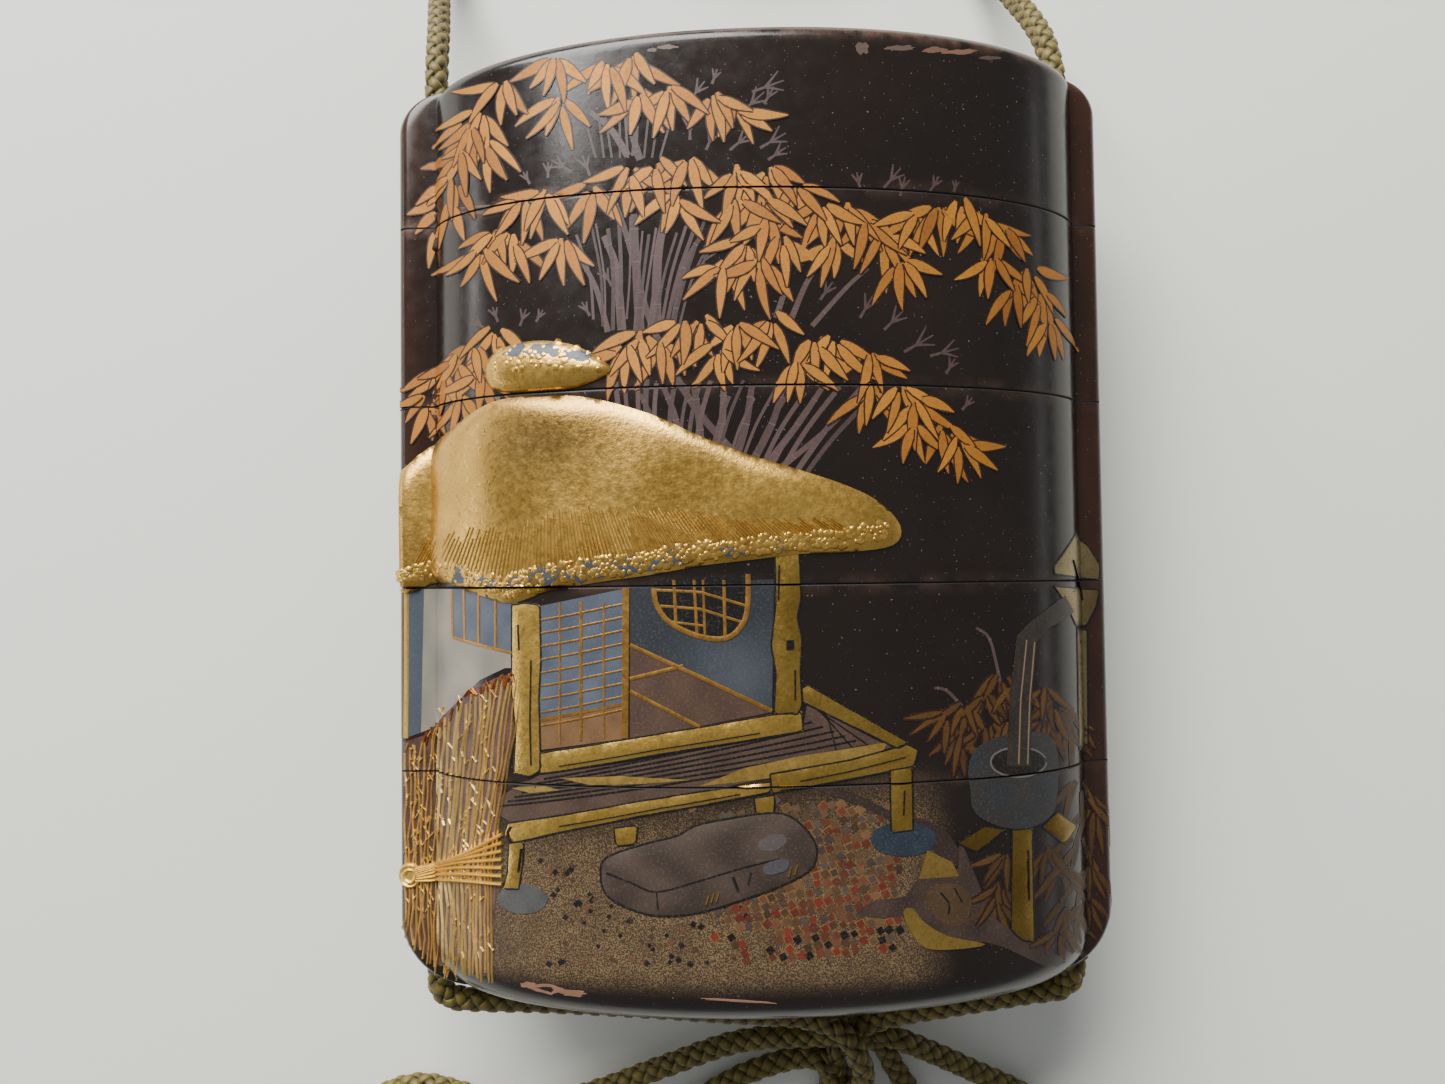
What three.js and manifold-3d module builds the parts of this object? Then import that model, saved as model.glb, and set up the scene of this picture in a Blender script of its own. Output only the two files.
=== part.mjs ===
// An inro: a small lacquered case of a lid, three trays and a base that stack on one another,
// strung on a silk cord through the two runners on its narrow sides. It lies on its back.
// Millimetres. X is the width, Y runs from the base to the lid, Z is the thickness, the picture on top.
import * as THREE from "three";
import { mergeVertices } from "three/addons/utils/BufferGeometryUtils.js";
import Module from "manifold-3d";

const wasm = await Module();
wasm.setup();

// Oval section of the case
const WIDTH = 64; // over the two cord runners
const BODY_WIDTH = 59; // the oval alone
const BODY_SHIFT = 0.5; // the oval's middle to the right of the middle between the runners
const THICKNESS = 26; // the oval, before the flat on the back
const OVAL_EXPONENT = 2.1;
const REST_WIDTH = 12; // flat along the back that keeps the case from rocking
const RUNNER_THICKNESS = 5.8;
const RUNNER_EDGE = 2; // depth of the rounding from the runner's flat face to its sides

// Heights along the stack
const LID_HEIGHT = 13.8;
const CASE_HEIGHT = 15.9;
const CASE_COUNT = 3;
const BASE_HEIGHT = 19.5;
const JOINT_GAP = 0.3;

// Ends of the stack
const LID_ROLL = 1.2; // rounding of the lid's edge
const BASE_ROLL = 3.6; // rounding of the base's edge
const LID_RUNNER_ROLL = 3.2; // rounding of the runners where they end
const BASE_RUNNER_ROLL = 5.5;
const END_DROP = 1; // how far each end falls away at the narrow sides
const END_CROWN = 0.3; // and towards the front and the back
const LID_LEAN = 0.7; // the lid stands lower on the left and higher on the right

// Walls and fits
const SHELL_WALL = 1.6; // outside of the case to the seat of the riser
const RISER_HEIGHT = 4;
const RISER_WALL = 1;
const FIT_CLEARANCE = 0.3;
const FLOOR = 1.2;
const LID_TOP = 2;
const BASE_FLOOR = 2.2;

// Cord and its channels
const CORD_DIAMETER = 2.2;
const CORD_CLEARANCE = 0.3;
const RUNNER_WALL = 1.6; // outside of the runner to the channel
const CHANNEL_WALL = 0.7; // channel to the seat of the riser

// Raised picture: a thatched roof and its ridge cap
const ROOF_RELIEF = 0.7;
const CAP_RELIEF = 0.9;
const CAP_LENGTH = 10.6;
const CAP_HEIGHT = 4.2;
const CAP_X = -17.7;
const CAP_RISE = 1.8; // middle of the cap above the joint under it

// Fineness of the faceted forms
const FRONT_STEPS = 24;
const BACK_STEPS = 20;
const RUNNER_STEPS = 6;
const ROLL_STEPS = 4;
const HOLE_SIDES = 12;
const CORD_SIDES = 8;

// Sizes that follow from the ones above
const HALF_WIDTH = BODY_WIDTH / 2;
const HALF_THICKNESS = THICKNESS / 2;
const HOLE_RADIUS = CORD_DIAMETER / 2 + CORD_CLEARANCE;
const HOLE_X = WIDTH / 2 - RUNNER_WALL - HOLE_RADIUS;
const SEAT_HALF_WIDTH = HOLE_X - HOLE_RADIUS - CHANNEL_WALL;
const SEAT_HALF_THICKNESS = HALF_THICKNESS - SHELL_WALL;
const STACK_HEIGHT =
  LID_HEIGHT + CASE_COUNT * CASE_HEIGHT + BASE_HEIGHT + (CASE_COUNT + 1) * JOINT_GAP;

// Half thickness of an oval at x from its middle
function ovalZ(x, halfWidth, halfThickness) {
  const share = Math.min(Math.abs(x) / halfWidth, 1);
  return halfThickness * Math.pow(1 - Math.pow(share, OVAL_EXPONENT), 1 / OVAL_EXPONENT);
}

// Half width of an oval at z from its middle
function ovalX(z, halfWidth, halfThickness) {
  const share = Math.min(Math.abs(z) / halfThickness, 1);
  return halfWidth * Math.pow(1 - Math.pow(share, OVAL_EXPONENT), 1 / OVAL_EXPONENT);
}

const MIDDLE_Z = ovalZ(REST_WIDTH / 2, HALF_WIDTH, HALF_THICKNESS); // middle of the oval over the table

// One ring of the section at height y: the oval, its middle at middleX, with flat-faced runners
// where runnerX reaches past it.
function ring(y, halfWidth, halfThickness, runnerX = 0, middleX = 0) {
  const points = [];
  const runnerZ = Math.min(RUNNER_THICKNESS / 2, 0.3 * halfThickness);
  const corner = Math.asin(Math.pow(runnerZ / halfThickness, OVAL_EXPONENT / 2));
  const runnerSide = (side) => {
    for (let i = 0; i <= RUNNER_STEPS; i++) {
      const turn = side * Math.PI * (i / RUNNER_STEPS - 0.5);
      const z = runnerZ * Math.sign(turn) * Math.sqrt(Math.abs(Math.sin(turn)));
      const nose = runnerX - RUNNER_EDGE * (1 - Math.sqrt(Math.abs(Math.cos(turn))));
      const x = Math.max(ovalX(z, halfWidth, halfThickness) + side * middleX, nose);
      points.push(new THREE.Vector3(side * x, y, z));
    }
  };
  const flank = (top, steps) => {
    for (let i = 1; i < steps; i++) {
      const turn = corner + (Math.PI - 2 * corner) * (i / steps);
      const x = halfWidth * Math.sign(Math.cos(turn)) * Math.pow(Math.abs(Math.cos(turn)), 2 / OVAL_EXPONENT);
      const z = halfThickness * Math.pow(Math.sin(turn), 2 / OVAL_EXPONENT);
      points.push(new THREE.Vector3(middleX + top * x, y, top > 0 ? z : Math.max(-z, -MIDDLE_Z)));
    }
  };
  runnerSide(1);
  flank(1, FRONT_STEPS);
  runnerSide(-1);
  flank(-1, BACK_STEPS);
  return points;
}

// How far a rounded edge of a radius stands back at a depth below its end
function rollInset(depth, radius) {
  const rest = Math.max(radius - depth, 0);
  return radius - Math.sqrt(radius * radius - rest * rest);
}

// The outer ring of the case at height y; relief grows the oval, but not the runners' noses.
const outerRing = (y, relief = 0) =>
  ring(y, HALF_WIDTH + relief, HALF_THICKNESS + relief, WIDTH / 2, BODY_SHIFT);
const seatRing = (y) => ring(y, SEAT_HALF_WIDTH, SEAT_HALF_THICKNESS);
const riserRing = (y) => ring(y, SEAT_HALF_WIDTH - FIT_CLEARANCE, SEAT_HALF_THICKNESS - FIT_CLEARANCE);
const CAVITY_INSET = FIT_CLEARANCE + RISER_WALL;
const cavityRing = (y) => ring(y, SEAT_HALF_WIDTH - CAVITY_INSET, SEAT_HALF_THICKNESS - CAVITY_INSET);
const middleOf = (y) => [new THREE.Vector3(0, y, 0)];

// Rings of a rounded, slightly crowned end at height y, from the wall to the middle. up is 1 or -1.
function endRings(y, up, roll, runnerRoll, lean) {
  const fall = (p) =>
    END_DROP * Math.pow(p.x / HALF_WIDTH, 2) +
    END_CROWN * Math.pow(p.z / HALF_THICKNESS, 2) -
    (lean * p.x) / HALF_WIDTH;
  const rings = [];
  const depths = [runnerRoll, (runnerRoll + roll) / 2];
  for (let i = ROLL_STEPS; i >= 0; i--) depths.push(roll * (1 - Math.cos((i / ROLL_STEPS) * (Math.PI / 2))));
  for (const depth of depths) {
    const inset = rollInset(depth, roll);
    const runnerX = WIDTH / 2 - rollInset(depth, runnerRoll);
    rings.push(ring(y - up * depth, HALF_WIDTH - inset, HALF_THICKNESS - inset, runnerX, BODY_SHIFT));
  }
  for (const share of [0.66, 0.33]) {
    rings.push(ring(y, share * (HALF_WIDTH - roll), share * (HALF_THICKNESS - roll), 0, share * BODY_SHIFT));
  }
  rings.push(middleOf(y));
  for (const points of rings) for (const p of points) p.y -= up * fall(p);
  return rings;
}

// A closed body through rings in order; a ring of one point closes an end.
function bodyThrough(rings) {
  const places = [];
  const faces = [];
  const starts = [];
  for (const points of rings) {
    starts.push(places.length / 3);
    for (const p of points) places.push(p.x, p.y, p.z);
  }
  for (let r = 0; r + 1 < rings.length; r++) {
    const count = Math.max(rings[r].length, rings[r + 1].length);
    const at = (k, i) => starts[k] + (rings[k].length === 1 ? 0 : i % rings[k].length);
    for (let i = 0; i < count; i++) {
      if (rings[r].length > 1) faces.push(at(r, i), at(r + 1, i), at(r, i + 1));
      if (rings[r + 1].length > 1) faces.push(at(r, i + 1), at(r + 1, i), at(r + 1, i + 1));
    }
  }
  const geometry = new THREE.BufferGeometry();
  geometry.setAttribute("position", new THREE.Float32BufferAttribute(places, 3));
  geometry.setIndex(faces);
  return geometry;
}

// Geometry to a solid for joining and cutting, and back
function solidOf(geometry) {
  const plain = geometry.clone();
  plain.deleteAttribute("normal");
  plain.deleteAttribute("uv");
  const merged = mergeVertices(plain, 1e-4);
  const mesh = new wasm.Mesh({
    numProp: 3,
    vertProperties: new Float32Array(merged.attributes.position.array),
    triVerts: new Uint32Array(merged.index.array),
  });
  return new wasm.Manifold(mesh);
}

function geometryOf(solid) {
  const mesh = solid.getMesh();
  const geometry = new THREE.BufferGeometry();
  geometry.setAttribute("position", new THREE.BufferAttribute(new Float32Array(mesh.vertProperties), 3));
  geometry.setIndex(new THREE.BufferAttribute(new Uint32Array(mesh.triVerts), 1));
  return geometry;
}

// The two channels that the cord runs through, long enough to pass any section
function channels() {
  const length = 2 * STACK_HEIGHT;
  const bore = (side) => solidOf(new THREE.CylinderGeometry(HOLE_RADIUS, HOLE_RADIUS, length, HOLE_SIDES)
    .translate(side * HOLE_X, 0, 0));
  return bore(-1).add(bore(1));
}

// Upper surface of a section that carries a riser: rim, riser, hollow and floor
function upperRings(rimY, floorY) {
  const riserTop = rimY + RISER_HEIGHT;
  return [riserRing(rimY), riserRing(riserTop), cavityRing(riserTop), cavityRing(floorY), middleOf(floorY)];
}

// Each section has its lower edge at y = 0.
function trayBody() {
  const seatTop = RISER_HEIGHT;
  return bodyThrough([
    middleOf(seatTop),
    seatRing(seatTop),
    seatRing(0),
    outerRing(0),
    outerRing(CASE_HEIGHT),
    ...upperRings(CASE_HEIGHT, seatTop + FLOOR),
  ]);
}

function baseBody() {
  return bodyThrough([
    ...endRings(0, -1, BASE_ROLL, BASE_RUNNER_ROLL, 0).reverse(),
    outerRing(BASE_HEIGHT),
    ...upperRings(BASE_HEIGHT, BASE_FLOOR),
  ]);
}

function lidBody() {
  const ceiling = LID_HEIGHT - LID_TOP;
  return bodyThrough([
    middleOf(ceiling),
    seatRing(ceiling),
    seatRing(0),
    outerRing(0),
    ...endRings(LID_HEIGHT, 1, LID_ROLL, LID_RUNNER_ROLL, LID_LEAN),
  ]);
}

// A raised figure on a section's front: the outline, laid on the oval as a skin of some relief
// that reaches halfway into the wall.
function raisedFigure(outline, height, relief) {
  const block = (ringAt) => solidOf(bodyThrough([middleOf(0), ringAt(0), ringAt(height), middleOf(height)]));
  const grown = block((y) => outerRing(y, relief));
  const skin = SHELL_WALL / 2;
  const core = block((y) => ring(y, HALF_WIDTH - skin, HALF_THICKNESS - skin, 0, BODY_SHIFT));
  const prism = new THREE.ExtrudeGeometry(outline, { depth: THICKNESS, bevelEnabled: false, curveSegments: 5 });
  return grown.intersect(solidOf(prism)).subtract(core);
}

// The thatched roof, its y counted from the lower edge of the tray it lies on
function roofOutline() {
  const left = -WIDTH / 2 - 2 * ROOF_RELIEF;
  const shape = new THREE.Shape();
  shape.moveTo(left, 0.6);
  shape.quadraticCurveTo(-24, -0.3, -17, 0.35);
  shape.quadraticCurveTo(-6, 1.5, 6.5, 2.5);
  shape.quadraticCurveTo(11.6, 2.4, 11.6, 4.7);
  shape.quadraticCurveTo(7, 8.6, -3.5, 11.4);
  shape.quadraticCurveTo(-10, 14.4, -13, 15.2);
  shape.lineTo(-22.5, 15.6);
  shape.quadraticCurveTo(-28, 13.2, left, 9.4);
  shape.closePath();
  return shape;
}

// The ridge cap, its y counted from the lower edge of the tray above the roof's
function capOutline() {
  const shape = new THREE.Shape();
  shape.absellipse(CAP_X, CAP_RISE, CAP_LENGTH / 2, CAP_HEIGHT / 2, 0, 2 * Math.PI);
  return shape;
}

const lacquer = (colour) =>
  new THREE.MeshStandardMaterial({ color: colour, roughness: 0.25, metalness: 0, flatShading: true });
const LACQUER = lacquer(0x2a2120);
const SILK = new THREE.MeshStandardMaterial({ color: 0x6f6430, roughness: 0.85, metalness: 0 });

const inro = new THREE.Group();
const stack = new THREE.Group();
stack.position.set(0, -STACK_HEIGHT / 2, MIDDLE_Z);
inro.add(stack);

// A section with its channels cut, standing at height y in the stack
function addSection(name, geometry, y, figure) {
  let solid = solidOf(geometry);
  if (figure) solid = solid.add(figure);
  const mesh = new THREE.Mesh(geometryOf(solid.subtract(channels())), LACQUER);
  mesh.name = name;
  mesh.position.y = y;
  stack.add(mesh);
}

const trayY = (number) => BASE_HEIGHT + JOINT_GAP + (CASE_COUNT - number) * (CASE_HEIGHT + JOINT_GAP);
const CAP_TRAY = 1;
const ROOF_TRAY = 2;
addSection("lid", lidBody(), STACK_HEIGHT - LID_HEIGHT);
for (let number = 1; number <= CASE_COUNT; number++) {
  let figure;
  if (number === CAP_TRAY) figure = raisedFigure(capOutline(), CASE_HEIGHT, CAP_RELIEF);
  if (number === ROOF_TRAY) figure = raisedFigure(roofOutline(), CASE_HEIGHT, ROOF_RELIEF);
  addSection("tray_" + number, trayBody(), trayY(number), figure);
}
addSection("base", baseBody(), 0);

// Cord: free stretches are tubes along hand-chosen points. It comes out of both runners at each end.
// Past the lid it is one loop, with its spare length in a flat round coil on the table. Below the
// base its two ends are tied in a bow.
const COIL_MIDDLE = new THREE.Vector3(0, 77, 0);
const COIL_TURN_RADIUS = 11.65;
const COIL_TURNS_ACROSS = 2.5;
const COIL_LAYERS = 2;
const COIL_SLACK = 0.15;
const COIL_SIDES = 24;
const KNOT_MIDDLE = new THREE.Vector3(9.5, -50.4, 0);
const KNOT_LENGTH = 9.2;
const KNOT_WIDTH = 7.2;
const KNOT_HEIGHT = 8.4;
const KNOT_CORNER = 2.4;
const END_KNOT_LENGTH = 5;
const END_KNOT_WIDTH = 3.8;
const CORD_STEP = 2.5 * CORD_DIAMETER;

const ROUTES = {
  cord_top_left: [
    [-29, 39.7, 12.8], [-29, 41.3, 12.8], [-29.1, 44.3, 12.1], [-29.5, 48.3, 9.8], [-30.1, 52.3, 7],
    [-30.6, 56.3, 4.2], [-30.3, 60, 2.2], [-28.4, 63.3, 1.25], [-24.8, 65, 1.15], [-20, 65.1, 1.15],
    [-14, 64.3, 1.15], [-8.6, 63.8, 1.15],
  ],
  cord_top_right: [
    [29, 39.7, 12.8], [29, 41.8, 12.8], [28.7, 45.8, 11.6], [28.1, 49.8, 9], [27.3, 53.3, 6.2],
    [26.3, 56.8, 3.8], [24.6, 60, 2.1], [21.8, 62.9, 1.3], [18, 63.9, 1.2], [13.5, 63.9, 1.6],
    [8.6, 63.8, 2.6],
  ],
  cord_base_left: [
    [-29, -39.7, 12.8], [-29, -41.3, 12.8], [-28.3, -42.7, 12.3], [-25.6, -43.2, 11],
    [-21, -43.4, 9.6], [-15, -43.7, 8.6], [-9, -44.3, 7.9], [-3, -45.1, 7.3], [2, -46.1, 6.9],
    [5.1, -47.2, 6.6],
  ],
  cord_base_right: [
    [29, -39.7, 12.8], [29, -41.3, 12.8], [28.2, -42.8, 12.2], [25.4, -43.6, 11.2], [21.5, -44.6, 10.2],
    [17.3, -45.7, 9], [13.5, -46.9, 7.6],
  ],
  bow_left: [
    [5.3, -50, 4.6], [-1.3, -50.7, 3.7], [-9, -53.5, 2.6], [-16.2, -56.3, 1.7], [-22.5, -57.9, 1.2],
    [-28.5, -56.7, 1.15], [-34, -55.4, 1.15], [-38.2, -56.9, 1.15], [-40, -60.3, 1.15],
    [-38.2, -63.9, 1.15], [-33, -66.1, 1.15], [-26, -66.5, 1.15], [-18, -64.6, 1.15], [-10.5, -60.5, 1.15],
    [-4.5, -56.8, 1.3], [0, -54.4, 1.9], [5.3, -52.9, 2.6],
  ],
  bow_right: [
    [13.9, -50.4, 4.5], [17.2, -52, 3.8], [22.2, -54.7, 2.6], [27.2, -57.4, 1.7], [31.6, -60.7, 1.2],
    [34, -64.6, 1.15], [32.6, -68.3, 1.15], [28.2, -69.8, 1.15], [22.6, -67.5, 1.15],
    [18.6, -62.7, 1.2], [16, -57.3, 1.8], [14, -54, 2.4],
  ],
  cord_tail_left: [
    [7.7, -55.3, 1.7], [6.9, -59.1, 1.2], [4.9, -63.6, 1.15], [3.9, -68.4, 1.15],
  ],
  cord_tail_right: [
    [11.7, -55.3, 1.7], [12.3, -59.1, 1.2], [12.1, -63.6, 1.15], [13.7, -68.4, 1.15],
  ],
};

function addCordPart(name, geometry) {
  const mesh = new THREE.Mesh(geometry, SILK);
  mesh.name = name;
  inro.add(mesh);
  return mesh;
}

function addTube(name, points) {
  const path = new THREE.CatmullRomCurve3(points.map((p) => new THREE.Vector3(...p)), false, "centripetal");
  const section = new THREE.Shape();
  section.setFromPoints(new THREE.EllipseCurve(0, 0, CORD_DIAMETER / 2, CORD_DIAMETER / 2)
    .getPoints(CORD_SIDES).slice(0, CORD_SIDES));
  const steps = Math.max(2, Math.round(path.getLength() / CORD_STEP));
  addCordPart(name, new THREE.ExtrudeGeometry(section, { steps, extrudePath: path, bevelEnabled: false }));
}
for (const [name, points] of Object.entries(ROUTES)) addTube(name, points);

// Straight stretches of cord inside the runners, from base to lid
const CHANNEL_CORD_END = STACK_HEIGHT / 2 - END_DROP - LID_LEAN - JOINT_GAP;
for (const [name, side] of [["cord_channel_left", -1], ["cord_channel_right", 1]]) {
  const length = 2 * CHANNEL_CORD_END;
  addCordPart(name, new THREE.CylinderGeometry(CORD_DIAMETER / 2, CORD_DIAMETER / 2, length, CORD_SIDES))
    .position.set(side * HOLE_X, 0, MIDDLE_Z);
}

// Outer shape of the coil: a ring as wide as its turns side by side and as high as its layers
function coilRing() {
  const half = (COIL_TURNS_ACROSS * CORD_DIAMETER) / 2 + COIL_SLACK;
  const top = COIL_LAYERS * CORD_DIAMETER;
  const soft = CORD_DIAMETER / 4;
  const profile = [
    [-half, soft], [soft - half, 0], [half - soft, 0], [half, soft],
    [half, top - soft], [half - soft, top], [soft - half, top], [-half, top - soft], [-half, soft],
  ];
  const points = profile.map(([r, z]) => new THREE.Vector2(COIL_TURN_RADIUS + r, z));
  return new THREE.LatheGeometry(points, COIL_SIDES).rotateX(Math.PI / 2);
}
addCordPart("cord_coil", coilRing()).position.copy(COIL_MIDDLE);

// Outer shape of the bow's knot: an upright block with round corners
function knotBlock() {
  const x = KNOT_WIDTH / 2;
  const y = KNOT_LENGTH / 2;
  const r = KNOT_CORNER;
  const shape = new THREE.Shape();
  shape.absarc(x - r, y - r, r, 0, Math.PI / 2);
  shape.absarc(r - x, y - r, r, Math.PI / 2, Math.PI);
  shape.absarc(r - x, r - y, r, Math.PI, 1.5 * Math.PI);
  shape.absarc(x - r, r - y, r, 1.5 * Math.PI, 2 * Math.PI);
  return new THREE.ExtrudeGeometry(shape, { depth: KNOT_HEIGHT, bevelEnabled: false, curveSegments: 4 });
}
addCordPart("bow_knot", knotBlock()).position.copy(KNOT_MIDDLE);

// A small knot past the end of each tail, in line with it
for (const side of ["left", "right"]) {
  const route = ROUTES["cord_tail_" + side];
  const end = new THREE.Vector3(...route.at(-1));
  const along = end.clone().sub(new THREE.Vector3(...route.at(-2))).setZ(0).normalize();
  const knot = addCordPart("end_knot_" + side, new THREE.SphereGeometry(0.5, 10, 8)
    .scale(END_KNOT_WIDTH, END_KNOT_LENGTH, END_KNOT_WIDTH));
  knot.position.copy(end).addScaledVector(along, END_KNOT_LENGTH / 2 + JOINT_GAP);
  knot.position.z = END_KNOT_WIDTH / 2;
  knot.rotation.z = Math.atan2(-along.x, along.y);
}

export default inro;
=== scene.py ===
"""Looks of the inro case: lacquered sections, gold picture, braided silk cord, camera and light.

Lengths in the helpers are millimetres in the frame of the CAD model; meshes are written in metres.
A picture motif is drawn in pixels of the 1445 x 1084 view and laid on the curved front.
"""
import itertools
import math
import random

import bpy
import numpy as np
from mathutils import Matrix, Vector
from mathutils.geometry import delaunay_2d_cdt


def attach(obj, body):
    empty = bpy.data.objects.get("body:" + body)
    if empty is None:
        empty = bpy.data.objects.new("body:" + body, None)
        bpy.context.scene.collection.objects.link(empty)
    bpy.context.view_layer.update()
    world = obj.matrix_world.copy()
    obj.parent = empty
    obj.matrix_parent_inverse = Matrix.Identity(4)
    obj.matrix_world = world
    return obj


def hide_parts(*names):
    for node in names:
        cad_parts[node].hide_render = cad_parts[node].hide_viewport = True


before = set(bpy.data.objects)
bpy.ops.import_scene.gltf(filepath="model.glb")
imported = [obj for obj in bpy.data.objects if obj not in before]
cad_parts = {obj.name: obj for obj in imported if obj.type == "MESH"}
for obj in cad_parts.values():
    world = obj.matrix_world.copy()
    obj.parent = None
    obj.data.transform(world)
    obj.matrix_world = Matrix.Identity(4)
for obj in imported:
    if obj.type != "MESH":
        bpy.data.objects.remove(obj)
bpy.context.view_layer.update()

MM = 0.001
ROOT = "root"

# Sizes repeated from part.mjs
WIDTH, BODY_WIDTH, BODY_SHIFT, THICKNESS, EXPONENT = 64.0, 59.0, 0.5, 26.0, 2.1
REST_WIDTH, RUNNER_THICKNESS, RUNNER_EDGE = 12.0, 5.8, 2.0
LID_H, CASE_H, BASE_H, GAP = 13.8, 15.9, 19.5, 0.3
LID_ROLL, BASE_ROLL, LID_RUNNER_ROLL, BASE_RUNNER_ROLL = 1.2, 3.6, 3.2, 5.5
END_DROP, END_CROWN, LID_LEAN = 1.0, 0.3, 0.7
SHELL_WALL, RISER_H, RISER_WALL, FIT, FLOOR, LID_TOP, BASE_FLOOR = 1.6, 4.0, 1.0, 0.3, 1.2, 2.0, 2.2
CORD_D, HOLE_R, HOLE_X = 2.2, 1.4, 29.0
HW, HT = BODY_WIDTH / 2, THICKNESS / 2
SEAT_HW, SEAT_HT = HOLE_X - HOLE_R - 0.7, HT - SHELL_WALL
MID_Z = HT * (1 - (REST_WIDTH / 2 / HW) ** EXPONENT) ** (1 / EXPONENT)
STACK = LID_H + 3 * CASE_H + BASE_H + 4 * GAP
Y0 = -STACK / 2

# Camera, from the fit to the photograph
CAM = np.array([-5.07, -4.54, 113.12])
CAM_TURN = np.array([-0.032, 0.022, 0.0115])
FOCAL, FW, FH = 1085.0, 1445, 1084


def turn_matrix(r):
    a = np.linalg.norm(r)
    k = r / a
    K = np.array([[0, -k[2], k[1]], [k[2], 0, -k[0]], [-k[1], k[0], 0]])
    return np.eye(3) + math.sin(a) * K + (1 - math.cos(a)) * K @ K


TURN = turn_matrix(CAM_TURN)

cam_data = bpy.data.cameras.new("camera")
cam_data.sensor_fit = "HORIZONTAL"
cam_data.sensor_width = 36.0
cam_data.lens = 36.0 * FOCAL / FW
cam_data.clip_start = 0.005
cam_data.clip_end = 5
camera = bpy.data.objects.new("camera", cam_data)
bpy.context.scene.collection.objects.link(camera)
camera.matrix_world = Matrix.Translation(Vector(CAM * MM)) @ Matrix(TURN.T.tolist()).to_4x4()
bpy.context.scene.camera = camera


# Meshes
def add_mesh(name, verts, faces, smooth=True, sharp=None, colours=None):
    """verts in mm; colours has one linear colour for each vertex."""
    mesh = bpy.data.meshes.new(name)
    mesh.from_pydata((np.asarray(verts, float) * MM).tolist(), [], faces)
    mesh.update()
    if colours is not None:
        a = mesh.color_attributes.new("tint", "FLOAT_COLOR", "POINT")
        c = np.ones((len(verts), 4))
        c[:, :3] = colours
        a.data.foreach_set("color", c.ravel())
    if smooth:
        mesh.polygons.foreach_set("use_smooth", [True] * len(mesh.polygons))
        if sharp is not None:
            mesh.set_sharp_from_angle(angle=math.radians(sharp))
    obj = bpy.data.objects.new(name, mesh)
    bpy.context.scene.collection.objects.link(obj)
    return obj


def put(obj, slot, material, *nodes):
    obj.data.materials.append(material)
    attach(obj, ROOT)
    if nodes:
        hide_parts(*nodes)


# Materials
def rgb(c):
    return (c[0], c[1], c[2], 1.0)


class Mat:
    """A small builder of shader nodes."""

    def __init__(self, name):
        self.m = bpy.data.materials.new(name)
        self.m.use_nodes = True
        self.t = self.m.node_tree
        self.b = self.t.nodes["Principled BSDF"]

    def node(self, kind, **settings):
        n = self.t.nodes.new(kind)
        for k, v in settings.items():
            setattr(n, k, v)
        return n

    def link(self, a, b):
        self.t.links.new(a, b)

    def give(self, socket, value):
        """A number or a colour goes on the socket itself; anything else is linked to it."""
        if isinstance(value, (int, float)):
            socket.default_value = value
        elif isinstance(value, tuple):
            socket.default_value = rgb(value)
        else:
            self.link(value, socket)

    def coords(self):
        return self.node("ShaderNodeTexCoord").outputs["Object"]

    def noise(self, scale, detail, rough=0.55, squash=None):
        n = self.node("ShaderNodeTexNoise")
        n.inputs["Scale"].default_value = scale
        n.inputs["Detail"].default_value = detail
        n.inputs["Roughness"].default_value = rough
        v = self.coords()
        if squash:
            m = self.node("ShaderNodeMapping")
            m.inputs["Scale"].default_value = squash
            self.link(v, m.inputs["Vector"])
            v = m.outputs["Vector"]
        self.link(v, n.inputs["Vector"])
        return n.outputs["Fac"]

    def ramp(self, fac, lo, hi, a=0.0, b=1.0):
        n = self.node("ShaderNodeMapRange")
        n.inputs["From Min"].default_value = lo
        n.inputs["From Max"].default_value = hi
        n.inputs["To Min"].default_value = a
        n.inputs["To Max"].default_value = b
        n.clamp = True
        self.link(fac, n.inputs["Value"])
        return n.outputs["Result"]

    def math(self, op, a, b):
        n = self.node("ShaderNodeMath", operation=op)
        self.give(n.inputs[0], a)
        self.give(n.inputs[1], b)
        return n.outputs[0]

    def mix(self, fac, a, b, kind="MIX"):
        n = self.node("ShaderNodeMix", data_type="RGBA", blend_type=kind)
        self.give(n.inputs["Factor"], fac)
        self.give(n.inputs[6], a)
        self.give(n.inputs[7], b)
        return n.outputs[2]

    def tint(self):
        return self.node("ShaderNodeVertexColor", layer_name="tint").outputs["Color"]

    def mark(self, name):
        return self.node("ShaderNodeAttribute", attribute_name=name).outputs["Fac"]

    def set(self, **values):
        names = {"color": "Base Color", "rough": "Roughness", "metal": "Metallic",
                 "spec": "Specular IOR Level", "sheen": "Sheen Weight"}
        for key, value in values.items():
            self.give(self.b.inputs[names[key]], value)

    def bump(self, height, strength, distance):
        n = self.node("ShaderNodeBump")
        n.inputs["Strength"].default_value = strength
        n.inputs["Distance"].default_value = distance
        self.link(height, n.inputs["Height"])
        self.link(n.outputs["Normal"], self.b.inputs["Normal"])


LACQUER_LOW, LACQUER_HIGH = (0.0092, 0.0059, 0.0046), (0.0148, 0.0093, 0.0069)
RUNNER_LOW, RUNNER_HIGH = (0.018, 0.0075, 0.0045), (0.036, 0.0150, 0.008)
POWDER, FLAKE = (0.056, 0.034, 0.020), (0.30, 0.205, 0.098)
DUST, WORN, SEAM_DARK = (0.30, 0.27, 0.24), (0.125, 0.066, 0.042), (0.003, 0.0022, 0.002)


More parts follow.
